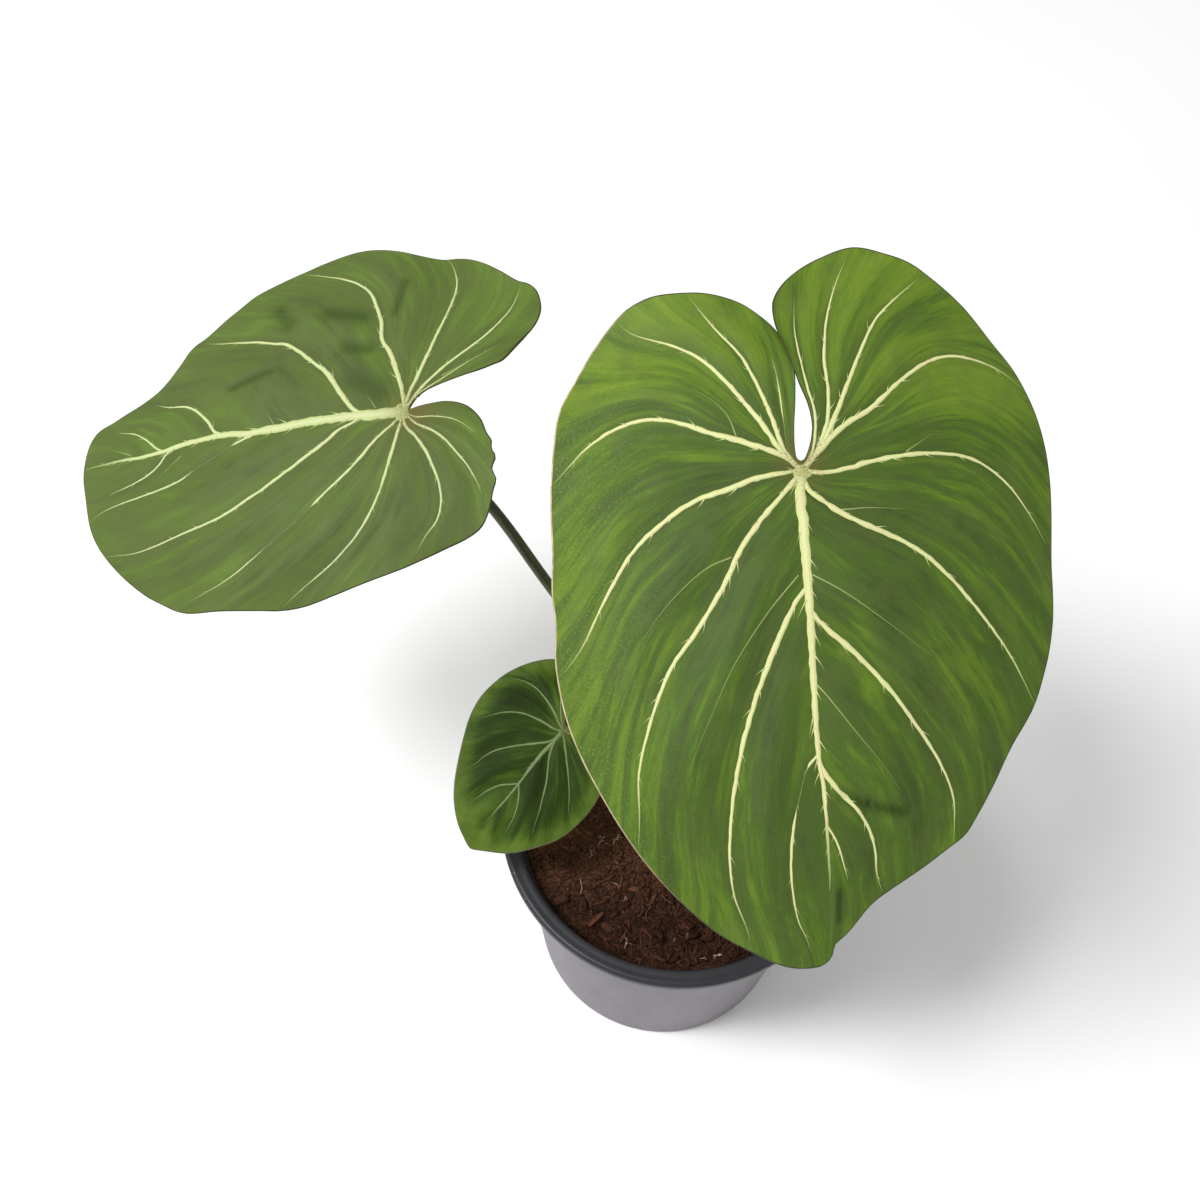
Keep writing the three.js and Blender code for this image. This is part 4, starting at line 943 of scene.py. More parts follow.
def notch_rows(leaf, ray, notch_turn):
    """Rows across the narrow strip between the notch and the vein beside it."""
    rows = []
    place, reach, low, high = leaf["overlap"]
    for step in range(RAY_STEPS):
        share = step / RAY_STEPS
        turn = notch_turn * (1 - share) + ray["turn"] * share
        inner, margin = ray["points"][step, :2], leaf["rim"].at(turn)
        lift = (high if notch_turn else low) * math.exp(-(((margin[0] - place) / reach) ** 2))
        width = max(np.linalg.norm(margin - inner), 2 * MARGIN_BAND)
        s = np.append(np.linspace(0, 1 - MARGIN_BAND / width, NOTCH_COLUMNS + 1)[1:], 1)
        points = inner + np.outer(s, margin - inner)
        base = ray["points"][step, 2] - blade_height(leaf, *inner)
        wave = margin_wave(leaf, turn, np.maximum(s, share), np.linalg.norm(margin))
        height = blade_height(leaf, *points.T) + base * (1 - s) + wave * s + lift * s
        flow = ray["flow"][step] + np.outer(s, (-2 * width, 0, 0))
        rows.append((np.column_stack([points, height]), flow))
    return rows


class Sheet:
    """The middle of a blade. Its band is the outermost row of faces, in the margin's colour."""

    def __init__(self):
        self.points, self.flow, self.painted_vein_shade = [], [], []
        self.faces, self.band = [], []
        self.count = 0

    def add(self, points, flow, painted_vein_shade=0):
        """New points, with the flow and painted vein shade at each. Their numbers come back."""
        self.points.append(points)
        self.flow.append(flow)
        self.painted_vein_shade.append(np.broadcast_to(painted_vein_shade, len(points)))
        self.count += len(points)
        return list(range(self.count - len(points), self.count))

    def face(self, in_band, *corners):
        """A new face. Corners that are the same point count once."""
        corners = list(dict.fromkeys(corners))
        if len(corners) > 2:
            (self.band if in_band else self.faces).append(corners)

    def notch_strip(self, rows, ring, flip):
        """The strip between the notch and the ray beside it. On one side its faces are flipped."""
        grid = [[start, *row] for start, row in zip([0, *ring], rows)]
        grid.append([ring[-1]] * (NOTCH_COLUMNS + 2))
        for near, far in zip(grid, grid[1:]):
            for column in range(NOTCH_COLUMNS + 1):
                quad = (near[column], far[column], far[column + 1], near[column + 1])
                self.face(column == NOTCH_COLUMNS, *(turned([quad])[0] if flip else quad))


def blade_sheet(leaf):
    """The blade's middle, ray by ray from the midrib, and the numbers of its margin's points."""
    rays, sheet = leaf_rays(leaf), Sheet()
    knots = leaf["spine"].at(np.linspace(0, 1, leaf["knots"] + 1))
    x, y = knots.T
    flow = np.column_stack([np.full(len(x), 0.5 * leaf["rim"].length), x, 0 * x])
    sheet.add(np.column_stack([x, y, blade_height(leaf, x, y)]), flow, 1)
    rings = [sheet.add(ray["points"][1:], ray["flow"][1:], ray["painted_vein_shade"][1:]) for ray in rays]
    for ray, next_ray, here, beside in zip(rays, rays[1:], rings, rings[1:]):
        low, high = sorted((ray["knot"], next_ray["knot"]))
        sheet.face(False, here[0], beside[0], high)
        for knot in range(high, low, -1):
            ends = (here[0], knot, knot - 1) if ray["knot"] == low else (beside[0], knot - 1, knot)
            sheet.face(False, *ends)
        for step in range(RAY_STEPS - 1):
            quad = (here[step], here[step + 1], beside[step + 1], beside[step])
            sheet.face(step == RAY_STEPS - 2, *quad)
    left = [sheet.add(*row) for row in notch_rows(leaf, rays[0], 0)]
    right = [left[0], *(sheet.add(*row) for row in notch_rows(leaf, rays[-1], 1)[1:])]
    sheet.notch_strip(left, rings[0], True)
    sheet.notch_strip(right, rings[-1], False)
    return sheet, [corners[-1] for corners in (*left, *rings, *right[:0:-1])]


def underside(faces, count):
    """The faces again, on the points that follow those of the upper side."""
    return [[corner + count for corner in face[::-1]] for face in faces]


def blade_piece(name, leaf, look, pinkness, slot):
    """The blade as one thin closed sheet, with a rounded margin in its own colour."""
    leaf["matrix"] = leaf_frame(leaf)
    sheet, margin = blade_sheet(leaf)
    middle = np.vstack(sheet.points)
    leaf["surface"] = BVHTree.FromPolygons(middle.tolist(), sheet.faces + sheet.band)
    loop = middle[margin]
    run = np.roll(loop, -1, axis=0) - np.roll(loop, 1, axis=0)
    outward = np.column_stack([run[:, 1], -run[:, 0], 0 * run[:, 0]])
    outward /= np.maximum(np.linalg.norm(outward, axis=1), 1e-6)[:, None]
    rim = loop + outward * MARGIN_ROUND
    size, ends = len(middle), len(margin)
    wall = []
    for index, (corner, after) in enumerate(zip(margin, margin[1:] + margin[:1])):
        outer, outer_after = 2 * size + index, 2 * size + (index + 1) % ends
        wall.append([after, corner, outer, outer_after])
        wall.append([outer_after, outer, corner + size, after + size])
    lift = np.array([0, 0, BLADE_HALF])
    points = np.vstack([middle + lift, middle - lift, rim])
    x, y = points[:, 0], points[:, 1]
    pale, pink = paleness_and_painted_light(leaf, x, y)
    build = Build("flow", "painted_vein_shade", "paleness_and_painted_light", "pink", "under", "stain", "painted_crease_shade")
    build.add(
        points, sheet.faces + underside(sheet.faces, size),
        flow=np.vstack([*sheet.flow, *sheet.flow, np.zeros((ends, 3))]),
        painted_vein_shade=np.concatenate([*sheet.painted_vein_shade, *sheet.painted_vein_shade, np.zeros(ends)]),
        under=np.repeat((0, 1, 0.5), (size, size, ends)),
        paleness_and_painted_light=pale, pink=pink, stain=joint_stain(leaf, x, y), painted_crease_shade=dents(leaf, x, y),
    )
    edge = sheet.band + underside(sheet.band, size) + wall
    build.faces += edge
    build.slots += [1] * len(edge)
    materials = [blade_material(f"blade_{name}", look), margin_material(f"margin_{name}", pinkness)]
    return build.piece(f"blade_{name}", materials, slot, [f"blade_{name}"], leaf["matrix"])


# Veins

# Across each ridge: how far out, and how high as a share of its crown, or how deep if sunk
RIDGE_SECTION = np.array([(-1, -0.4), (-0.72, 0.6), (0, 1), (0.72, 0.6), (1, -0.4), (0, -1)])
RIDGE_SINK = 0.3
RIDGE_STEP = 0.9
THREAD_STEP = 1.2
UNDER_STEP = 1.5
FEWEST_STEPS = 8
THINNEST_VEIN = 0.12
OVER_BLADES = 60
HUB_RINGS = 5
HUB_SIDES = 28
HUB_RISE = 0.55
HUB_PLACE = 0.6
HUB_BACK = -1.6

# How uneven the midrib and the other veins are, and the spacing and length of their barbs
MIDRIB_RAGGED = 0.16
VEIN_RAGGED = 0.2
MIDRIB_BARBS = (4.5, 4.2)
VEIN_BARBS = (8, 3.2)
BARB_STEPS = 5
BARB_LEAN = (18, 42)
BARBS_END = 0.93


def surface_height(leaf, x, y):
    """The height of the finished blade's middle at points on its flat outline."""
    found = []
    for px, py in zip(np.ravel(x), np.ravel(y)):
        hit = leaf["surface"].ray_cast(Vector((px, py, OVER_BLADES)), Vector((0, 0, -1)))[0]
        found.append(hit.z if hit is not None else float(blade_height(leaf, px, py)))
    return np.array(found).reshape(np.shape(x))


def ridge(build, leaf, line, left, right, crown, fade, face=1):
    """A closed low ridge along a line on the blade. Face is 1 on top and -1 underneath."""
    run = np.gradient(line, axis=0)
    run /= np.maximum(np.linalg.norm(run, axis=1), 1e-9)[:, None]
    out, rise = RIDGE_SECTION.T
    offset = out * np.where(out > 0, left[:, None], right[:, None])
    x = line[:, :1] - offset * run[:, 1:]
    y = line[:, 1:] + offset * run[:, :1]
    raised = np.where(rise > 0, np.broadcast_to(crown, len(line))[:, None], RIDGE_SINK)
    z = surface_height(leaf, x, y) + face * (BLADE_HALF + rise * raised)
    count, sides = x.shape
    faces = ring_faces(count, sides)
    faces += [tuple(range(sides)), tuple(range(count * sides - 1, (count - 1) * sides - 1, -1))]
    if face < 0:
        faces = [corners[::-1] for corners in faces]
    build.add(
        np.stack([x, y, z], -1), faces, across=np.tile(1 - np.abs(out), count),
        fade=np.repeat(fade, sides), stain=joint_stain(leaf, x, y).ravel(),
    )


def ragged(half, rng, amount):
    """Half a ridge's width along a line, slightly uneven."""
    fine = rng.normal(0, 1, len(half))
    return half * (1 + amount * np.convolve(fine, (0.25, 0.5, 0.25), "same"))


def barbs(build, leaf, line, half, rng, sizes):
    """Short pale spikes that leave a vein's edges and lean along it."""
    steps = np.linalg.norm(np.diff(line, axis=0), axis=1)
    run = np.concatenate([[0], np.cumsum(steps)])
    shares = np.linspace(0, 1, BARB_STEPS)
    spacing, reach = sizes
    place = rng.uniform(0.3, 1) * spacing
    while place < run[-1] * BARBS_END:
        index = int(np.searchsorted(run, place))
        tangent = line[min(index + 1, len(line) - 1)] - line[index - 1]
        tangent /= np.linalg.norm(tangent)
        hand = rng.choice([-1, 1])
        out = np.array([-tangent[1], tangent[0]])
        lean = math.radians(rng.uniform(*BARB_LEAN)) * hand
        leant = tangent * math.cos(lean) + out * math.sin(lean)
        width = half[index]
        root = line[index] + out * hand * width * 0.55
        length = reach * rng.uniform(0.5, 1.2) * (0.4 + 0.6 * min(1, width / 0.9))
        spike = root + length * (np.outer(shares, leant) + np.outer(0.25 * shares**2, tangent))
        taper = 0.03 + 0.34 * min(width, 1) * (1 - shares) ** 1.3
        ridge(build, leaf, spike, taper, taper, 0.1 + taper * 0.6, 0.15 + 0.5 * shares)
        place += spacing * rng.uniform(0.5, 1.6)


def shown_end(kept):
    """The share of its way to the margin at which a vein has wholly faded."""
    return min(1, kept["shown"] + 0.08)


def vein_half(kept, shares):
    """Half a vein's width at each share of its way to the margin."""
    rise = 0.72 + 0.28 * smooth(0, 0.2, shares)
    fall = np.clip(1 - shares / shown_end(kept), 0, 1) ** 0.6
    width = kept["width"] * rise * fall
    if kept["gap"]:
        low, high = kept["gap"]
        width *= 1 - 0.93 * smooth(low - 0.04, low, shares) * (1 - smooth(high, high + 0.16, shares))
    return 0.5 * np.maximum(width, THINNEST_VEIN)


def whole_midrib(leaf):
    """The midrib's line from the joint on to where it fades out towards the tip."""
    spine, tip = leaf["spine"], leaf["tip_line"]["path"]
    onward = tip.at(tip.even(RIDGE_STEP, leaf["tip_shown"]))
    return np.vstack([spine.at(spine.even(RIDGE_STEP)), onward[1:]])


def veins_piece(name, leaf, material, slot, seed, scale=1):
    """All the raised veins of one blade's upper face."""
    rng = np.random.default_rng(seed)
    build = Build("across", "fade", "stain")
    line = whole_midrib(leaf)
    shares = np.linspace(0, 1, len(line))
    half = 0.5 * (leaf["midrib_width"] * (1 - shares) ** 0.6 * (1 - 0.3 * shares) + 0.3)
    left, right = (ragged(half, rng, MIDRIB_RAGGED) for _ in range(2))
    ridge(build, leaf, line, left, right, 0.16 + 0.1 * half, 0.8 * smooth(0.78, 1, shares))
    barbs(build, leaf, line, half, rng, scale * np.array(MIDRIB_BARBS))
    for kept in leaf["mains"]:
        if not kept["width"]:
            continue
        last = shown_end(kept)
        shares = kept["path"].even(RIDGE_STEP, last, FEWEST_STEPS)
        line, half = kept["path"].at(shares), vein_half(kept, shares)
        left, right = (ragged(half, rng, VEIN_RAGGED) for _ in range(2))
        fade = 0.75 * smooth(0.7, 1, shares / last) ** 1.5
        fade = np.maximum(fade, 0.6 * (1 - smooth(0.1, 0.3, half)))
        ridge(build, leaf, line, left, right, 0.12 + 0.12 * half, fade)
        barbs(build, leaf, line, half, rng, scale * np.array(VEIN_BARBS))
    for thread in leaf["threads"]:
        path = Path(thread)
        shares = path.even(THREAD_STEP)
        half = 0.5 * (0.4 * (1 - shares) + 0.14)
        ridge(build, leaf, path.at(shares), half, half, 0.07, 0.64 + 0.35 * shares**0.7)
    hub(build, leaf)
    return build.piece(f"veins_{name}", [material], slot, [f"veins_{name}"], leaf["matrix"])


def hub(build, leaf):
    """The low mound where the veins meet over the stalk."""
    angles = 2 * np.pi * np.arange(HUB_SIDES) / HUB_SIDES
    rings = []
    for share in np.arange(HUB_RINGS + 1) / HUB_RINGS:
        reach = 0.85 * leaf["midrib_width"] * share * (1 + 0.12 * np.cos(5 * angles))
        x, y = np.maximum(HUB_PLACE + reach * np.cos(angles), HUB_BACK), reach * np.sin(angles)
        z = surface_height(leaf, x, y) + BLADE_HALF + HUB_RISE * (1 - share**2) - 0.15 * share
        rings.append(np.column_stack([x, y, z]))
    rings.append(rings[-1] - (0, 0, RIDGE_SINK))
    points = np.vstack(rings)
    points[:HUB_SIDES] = points[:HUB_SIDES].mean(axis=0)
    faces = ring_faces(len(rings), HUB_SIDES)
    faces.append(tuple(range(len(points) - 1, len(points) - HUB_SIDES - 1, -1)))
    build.add(points, faces, across=0.35, fade=0.12, stain=joint_stain(leaf, *points[:, :2].T))


def under_veins_piece(name, leaf, material, slot):
    """The rounder ribs that stand out on the blade's lower face."""
    build = Build("across", "fade", "stain")
    shares = leaf["spine"].even(UNDER_STEP)
    half = 0.5 * (leaf["midrib_width"] * (1 - 0.75 * shares) + 0.2)
    ridge(build, leaf, leaf["spine"].at(shares), half, half, 0.7 * half, 0.3 * shares, -1)
    for kept in leaf["mains"]:
        if kept["width"]:
            shares = 0.94 * kept["path"].even(UNDER_STEP, fewest=FEWEST_STEPS)
            half = 0.5 * (kept["width"] * (1 - shares) + 0.25)
            ridge(build, leaf, kept["path"].at(shares), half, half, 0.6 * half, 0.5 * shares, -1)
    return build.piece(f"under_veins_{name}", [material], slot, (), leaf["matrix"])


# Stalks

STALKS = {
    "large": {
        "leaf": LARGE_LEAF, "radii": (4.2, 2.9, 2.5),
        "route": [(20, 31, 109.5), (20, 34, 135), (21, 38, 200), (22, 39, 262)],
    },
    "left": {
        "leaf": LEFT_LEAF, "radii": (3.4, 2.1, 1.8),
        "route": [(6, 20, 109.5), (-6, 26, 125), (-50, 52, 184), (-71.8, 65.7, 213.5)],
    },
    "small": {
        "leaf": SMALL_LEAF, "radii": (2.6, 1.5, 1.3),
        "route": [(-9, 10.5, 109.5), (-15, 12, 119), (-30, 14.5, 139)],
    },
}
SHEATH_SHARE = 0.16
NECK_MM = 9
STALK_SIDES = 30
STALK_STEP = 2


def stalk_path(stalk):
    """From the stalk's foot on the rhizome to just under its blade's joint."""
    leaf = stalk["leaf"]
    slope = 4 * leaf["arch"] / leaf["length"]
    under = [(slope * depth, 0, -depth, 1) for depth in (NECK_MM, NECK_MM / 2, BLADE_HALF * 0.6)]
    return Path([*stalk["route"], *((leaf["matrix"] @ point)[:3] for point in under)])


def stalk_piece(name, stalk, material):
    """A ribbed stalk with a thick foot, a slight swelling under the blade and a paler top."""
    foot, waist, top = stalk["radii"]
    path = stalk_path(stalk)

    def radius(share):
        if share < SHEATH_SHARE:
            return foot + (waist - foot) * smooth(0, 1, share / SHEATH_SHARE)
        plain = waist + (top - waist) * (share - SHEATH_SHARE) / (1 - SHEATH_SHARE)
        neck = (share - 1) * path.length / 8
        return plain * (1 + 0.22 * math.exp(-((neck + 1) ** 2)))

    def tone(share):
        return 0.55 * float(smooth(-26, -4, (share - 1) * path.length))

    build = Build("flow", "tone")
    steps = int(path.length / STALK_STEP)
    tube(build, path, radius, STALK_SIDES, steps, ribs=0.035, rib_count=5, tone=tone)
    return build.piece(f"petiole_{name}", [material], "petiole", [f"petiole_{name}"])


# Rhizome

RHIZOME_ROUTE = [
    (-19, 5, 105), (-7, 12.5, 106), (5, 20, 106.5), (18, 29.5, 107), (27, 37, 109), (31, 42, 114),
]
RHIZOME_RADIUS = 7.5
SCARS = 6
ROOT_RADIUS = 1.1
ROOTS = [
    [(-12, 9, 102), (-14, 16, 99), (-15, 20, 88)], [(0, 15, 101), (4, 7, 99), (5, 3, 86)],
    [(13, 26, 101), (8, 33, 99), (6, 36, 87)], [(24, 34, 102), (31, 28, 100), (34, 25, 89)],
]
SIDE_ROOT_RADIUS = 0.75
SIDE_ROOTS = [
    [(-5, 11, 104), (-4, 3, 103.6), (-8, -3, 100)], [(8, 22, 104), (3, 30, 103.5), (4, 34, 100)],
    [(20, 30, 104), (27, 22, 103.6), (27, 17, 100)],
]

# Each wrap of old sheath: its stalk, the way it faces, its spread, its radius and its height
WRAPS = [
    ("large", 0.4, 190, 5.6, 17), ("large", 3.4, 150, 6.1, 12), ("left", 1.3, 180, 4.6, 15),
    ("left", 4.2, 130, 5, 10), ("small", 2.2, 170, 3.7, 12),
]
WRAP_ROWS = 22
WRAP_COLUMNS = 26
WRAP_THICKNESS = 0.25
WRAP_SEED = 41


def rhizome_radius(share):
    """Thick between its ring scars, with a lip at each, and narrowed to a bud at its end."""
    scars = 0.5 * math.cos(2 * math.pi * SCARS * share)
    lips = 0.35 * math.exp(-((math.sin(math.pi * SCARS * share) / 0.12) ** 2))
    blunt = min(1, 0.6 + 7 * share)
    bud = 1 if share < 0.7 else math.sqrt(max(0.008, (1 - share) / 0.3))
    return (RHIZOME_RADIUS - 0.3 + scars + lips) * blunt * bud


def scar_tone(share):
    """Pale and corky at each ring scar."""
    return 0.8 * math.exp(-((math.sin(math.pi * SCARS * share) / 0.15) ** 2))


def rhizome_piece(material):
    """The creeping stem, its roots that go down into the soil and its thinner side roots."""
    build = Build("flow", "tone")
    stem = Path(RHIZOME_ROUTE)
    tube(build, stem, rhizome_radius, 48, 110, ribs=0.02, rib_count=9, tone=scar_tone)
    for thick, roots in ((ROOT_RADIUS, ROOTS), (SIDE_ROOT_RADIUS, SIDE_ROOTS)):
        for root in roots:
            path = Path(root)
            tube(build, path, tapered(thick, 1.3), 12, 26, ribs=0.04, rib_count=3, tone=0.5)
    return build.piece("rhizome", [material], "rhizome", ["rhizome"])


def wrap_sheet(rng, path, facing, spread, radius, height):
    """The outer face of one wrap, row by row up its stalk. It narrows and frays upwards."""
    sheet = []
    for rise in np.arange(WRAP_ROWS + 1) / WRAP_ROWS:
        centre = path.at((rise * height - 1.5) / path.length)
        narrow = 0.15 + 0.85 * (1 - rise) ** 0.6
        for across in np.arange(WRAP_COLUMNS + 1) / WRAP_COLUMNS - 0.5:
            angle = facing + math.radians(spread) * across * narrow
            wave = 0.35 * math.sin(9 * across + 5 * rise) + 0.25 * rng.normal() * rise
            away = radius + 1.6 * rise**2 + wave * rise
            sheet.append(centre + (math.cos(angle) * away, math.sin(angle) * away, 0))
    return np.array(sheet)


def wrap_faces():
    """The outer and inner faces of a wrap, and the narrow faces round its edge."""
    wide = WRAP_COLUMNS + 1
    size = (WRAP_ROWS + 1) * wide
    faces = []
    for row in range(WRAP_ROWS):
        for start in range(row * wide, row * wide + WRAP_COLUMNS):
            quad = (start, start + 1, start + 1 + wide, start + wide)
            faces += [quad, tuple(size + corner for corner in quad[::-1])]
    edge = [*range(wide), *range(2 * wide - 1, size, wide)]
    edge += [*range(size - 2, size - wide - 1, -1), *range(size - 2 * wide, 0, -wide)]
    return faces + [(b, a, a + size, b + size) for a, b in zip(edge, edge[1:] + edge[:1])]


def sheath_piece(material):
    """Papery remains of old leaf sheaths, wrapped part-way round each stalk's foot."""
    rng = np.random.default_rng(WRAP_SEED)
    build = Build("flow")
    for name, facing, spread, radius, height in WRAPS:
        outer = wrap_sheet(rng, stalk_path(STALKS[name]), facing, spread, radius, height)
        pull = outer[:, :2] - outer[:, :2].mean(axis=0)
        pull /= np.maximum(np.linalg.norm(pull, axis=1), 0.5)[:, None]
        inner = outer.copy()
        inner[:, :2] -= WRAP_THICKNESS * pull
        along = np.repeat(np.arange(WRAP_ROWS + 1) * height / WRAP_ROWS, WRAP_COLUMNS + 1)
        around = np.tile(np.arange(WRAP_COLUMNS + 1) * 0.6, WRAP_ROWS + 1)
        flow = np.column_stack([around, along, 0 * along])
        build.add(np.vstack([outer, inner]), wrap_faces(), flow=np.vstack([flow, flow]))
    return build.piece("sheaths", [material], "rhizome")


# Pot

POT_HEIGHT = 113
RIM_RADIUS = 66
RIM_INNER = 59.6
COLLAR = 7.5
COLLAR_FOOT = POT_HEIGHT - COLLAR
BODY_TOP = 59.4
BASE_RADIUS = 51
WALL = 1.8
FLOOR_TOP = 3.6
POT_SEGMENTS = 180
ARC_STEPS = 5
SHARPEST_SMOOTH = 38
DRAINS = 6
DRAIN_REACH = 31
DRAIN_RADIUS = 4.5
DRAIN_SIDES = 40
DRILL_ENDS = (-4, 8)


def wall_radius(height):
    """The radius of the pot's tapered outside."""
    return BASE_RADIUS + (BODY_TOP - BASE_RADIUS) * min(height / COLLAR_FOOT, 1)


def pot_corners():
    """Radius, height and rounding: from under the foot, up the outside, over the rim and down."""
    foot = COLLAR_FOOT
    return [
        (0, 0, 0), (17, 0, 0.4), (18.5, 1.5, 0.6), (43.5, 1.5, 0.8), (45, 0, 0.5), (50, 0, 0.5),
        (51, 1.2, 0.8), (wall_radius(2), 2.6, 0.2), (wall_radius(60), 60, 0), (wall_radius(98), 98, 0),
        (wall_radius(foot) - 0.2, foot - 0.4, 0.3), (wall_radius(foot) + 0.2, foot, 0.4),
        (RIM_RADIUS - 1.5, foot, 0.3), (RIM_RADIUS - 1, foot + 0.4, 0.3),
        (RIM_RADIUS - 0.75, foot + 1.7, 0.3), (RIM_RADIUS - 1.1, foot + 2.1, 0.25),
        (RIM_RADIUS - 0.35, foot + 2.6, 0.35), (RIM_RADIUS, POT_HEIGHT - 1.2, 1),
        (RIM_RADIUS - 1.2, POT_HEIGHT, 0.9), (RIM_RADIUS - 3.2, POT_HEIGHT - 0.25, 0.5),
        (RIM_INNER + 1.2, POT_HEIGHT, 0.7), (RIM_INNER, POT_HEIGHT - 1.1, 0.8),
        (RIM_INNER - 0.5, POT_HEIGHT - 6, 0.5), (wall_radius(103.5) - WALL, 104, 0.6),
        (BASE_RADIUS - WALL, FLOOR_TOP + 2, 1.5), (BASE_RADIUS - WALL - 2, FLOOR_TOP, 1),
        (0, FLOOR_TOP, 0),
    ]


def rounded_profile(corners):
    """A lathe profile from (radius, height, rounding) corners, each corner turned by an arc."""
    flat = np.array([corner[:2] for corner in corners], float)
    profile = [flat[0]]
    for before, here, after, corner in zip(flat, flat[1:], flat[2:], corners[1:]):
        back, ahead = before - here, after - here
        lengths = np.linalg.norm(back), np.linalg.norm(ahead)
        cut = min(corner[2], 0.45 * lengths[0], 0.45 * lengths[1])
        if cut < 0.05:
            profile.append(here)
            continue
        start, end = here + back / lengths[0] * cut, here + ahead / lengths[1] * cut
        for share in np.linspace(0, 1, ARC_STEPS):
            profile.append((1 - share) ** 2 * start + 2 * share * (1 - share) * here + share**2 * end)
    return np.array([*profile, flat[-1]])


def pot_piece(material):
    """The turned pot, dark on its collar and inside, with its drainage holes."""
    profile = rounded_profile(pot_corners())
    rings = [circle(radius, height, POT_SEGMENTS) for radius, height in profile[1:-1]]
    points = np.vstack([(0, 0, profile[0][1]), *rings, (0, 0, profile[-1][1])])
    x, y, z = points.T
    inside = np.hypot(x, y) < [wall_radius(height) - WALL / 2 for height in z]
    collar = np.maximum(smooth(COLLAR_FOOT - 0.5, COLLAR_FOOT - 0.1, z), inside * (z > 2))
    build = Build("collar")
    build.add(points, turned(capped_faces(len(rings), POT_SEGMENTS)), collar=collar)
    drill_drains(build.piece("pot", [material], "pot", ["pot"], crease=SHARPEST_SMOOTH))


def drill_drains(pot):
    """The drainage holes through the pot's floor, as in the CAD model."""
    cutter = Build()
    for turn in 2 * np.pi * (np.arange(DRAINS) + 0.5) / DRAINS:
        centre = (DRAIN_REACH * math.cos(turn), DRAIN_REACH * math.sin(turn))
        ends = [circle(DRAIN_RADIUS, height, DRAIN_SIDES, centre) for height in DRILL_ENDS]
        cutter.add(np.vstack(ends), tube_faces(2, DRAIN_SIDES))
    drill = add_object("drill", new_mesh("drill", np.concatenate(cutter.points), cutter.faces))
    cut = pot.modifiers.new("drains", "BOOLEAN")
    cut.operation, cut.object, cut.solver = "DIFFERENCE", drill, "EXACT"
    depsgraph = bpy.context.evaluated_depsgraph_get()
    drilled = bpy.data.meshes.new_from_object(pot.evaluated_get(depsgraph))
    pot.modifiers.remove(cut)
    pot.data = drilled
    bpy.data.objects.remove(drill)


# Soil

SOIL_HEIGHT = 103.5
SOIL_RADIUS = 57.2
SOIL_RINGS = 76
SOIL_SIDES = 300
SOIL_SEED = 5
CHIPS = 620
FIBRES = 1500
LUMP_RINGS = 3
LUMP_SIDES = 7
FIBRE_KNOTS = 5

# The clusters of pale bits that the photo shows: where, how far spread and how many
FLECKS = [(-24, -10, 3, 7), (-28, -9, 1.5, 3), (-17, -48, 1, 3), (-20, -30, 4, 2), (8, -52, 4, 2)]


def soil_height(x, y):
    """The height of the soil: the CAD model's gentle mound, broken into clods and crumbs."""
    x, y = np.asarray(x, float), np.asarray(y, float)
    dome = 1.5 * (1 - (x * x + y * y) / RIM_INNER**2)
    swell = np.sin(0.31 * x + 0.7) * np.cos(0.27 * y) + 0.6 * np.sin(0.55 * x - 0.43 * y)
    clods = 1.1 * lattice_noise(x, y, 7, 3) + 0.8 * lattice_noise(x, y, 3.1, 4)
    crumbs = 0.55 * lattice_noise(x, y, 1.3, 5)
    edge = smooth(SOIL_RADIUS - 5, SOIL_RADIUS, np.hypot(x, y))
    return SOIL_HEIGHT + dome + 0.7 * swell + (clods + crumbs) * (1 - 0.5 * edge) - 0.8 * edge


def soil_piece(material):
    """The bed of soil and all that lies on it. It has painted light to the back, most on the left, where
    the leaves shade it.
    """
    rng = np.random.default_rng(SOIL_SEED)
    rings = []
    for ring in range(1, SOIL_RINGS + 1):
        x, y, _ = circle(SOIL_RADIUS * ring / SOIL_RINGS, 0, SOIL_SIDES).T
        jitter = 0.25 * rng.normal(size=(2, SOIL_SIDES)) * (ring < SOIL_RINGS)
        x, y = x + jitter[0], y + jitter[1]
        rings.append(np.column_stack([x, y, soil_height(x, y)]))
    foot, floor_top = BASE_RADIUS - WALL - 0.3, FLOOR_TOP + 0.3
    for radius, height in ((57, 96), (foot, floor_top + 2), (foot - 2, floor_top)):
        rings.append(circle(radius, height, SOIL_SIDES))
    build = Build("flow", "tone", "bit")
    points = np.vstack([(0, 0, float(soil_height(0, 0))), *rings, (0, 0, floor_top)])
    build.add(points, capped_faces(len(rings), SOIL_SIDES))
    add_chips(build, rng)
    add_fibres(build, rng)
    add_flecks(build, rng)
    x, y = np.concatenate(build.points)[:, :2].T
    # The painted light on the soil: towards the back, most on the left, where the leaves shade it
    build.values["soil_painted_light"] = [0.57 * smooth(-44, 0, y) * (1 + 0.75 * smooth(-4, -40, x))]
    return build.piece("soil", [material], "soil", ["soil"])


def random_place(rng, inset):
    """A place on the soil, at least the inset away from its edge."""
    reach = (SOIL_RADIUS - inset) * math.sqrt(rng.uniform())
    turn = rng.uniform(0, 2 * math.pi)
    return reach * math.cos(turn), reach * math.sin(turn)


def add_chips(build, rng):
    """Flat broken bits of bark and peat, half sunk in the soil."""
    for _ in range(CHIPS):
        place = random_place(rng, 2.5)
        size = rng.uniform(0.6, 1.7) * (1 if rng.uniform() < 0.9 else 1.7)
        lump(build, rng, *place, size, rng.beta(2, 3) * 0.75)


def add_fibres(build, rng):
    """Thin curved fibres that lie on and in the soil."""
    for _ in range(FIBRES):
        place, heading = random_place(rng, 3), rng.uniform(0, 2 * math.pi)
        fibre(build, rng, *place, heading, rng.uniform(2, 9), rng.normal(0, 0.3))


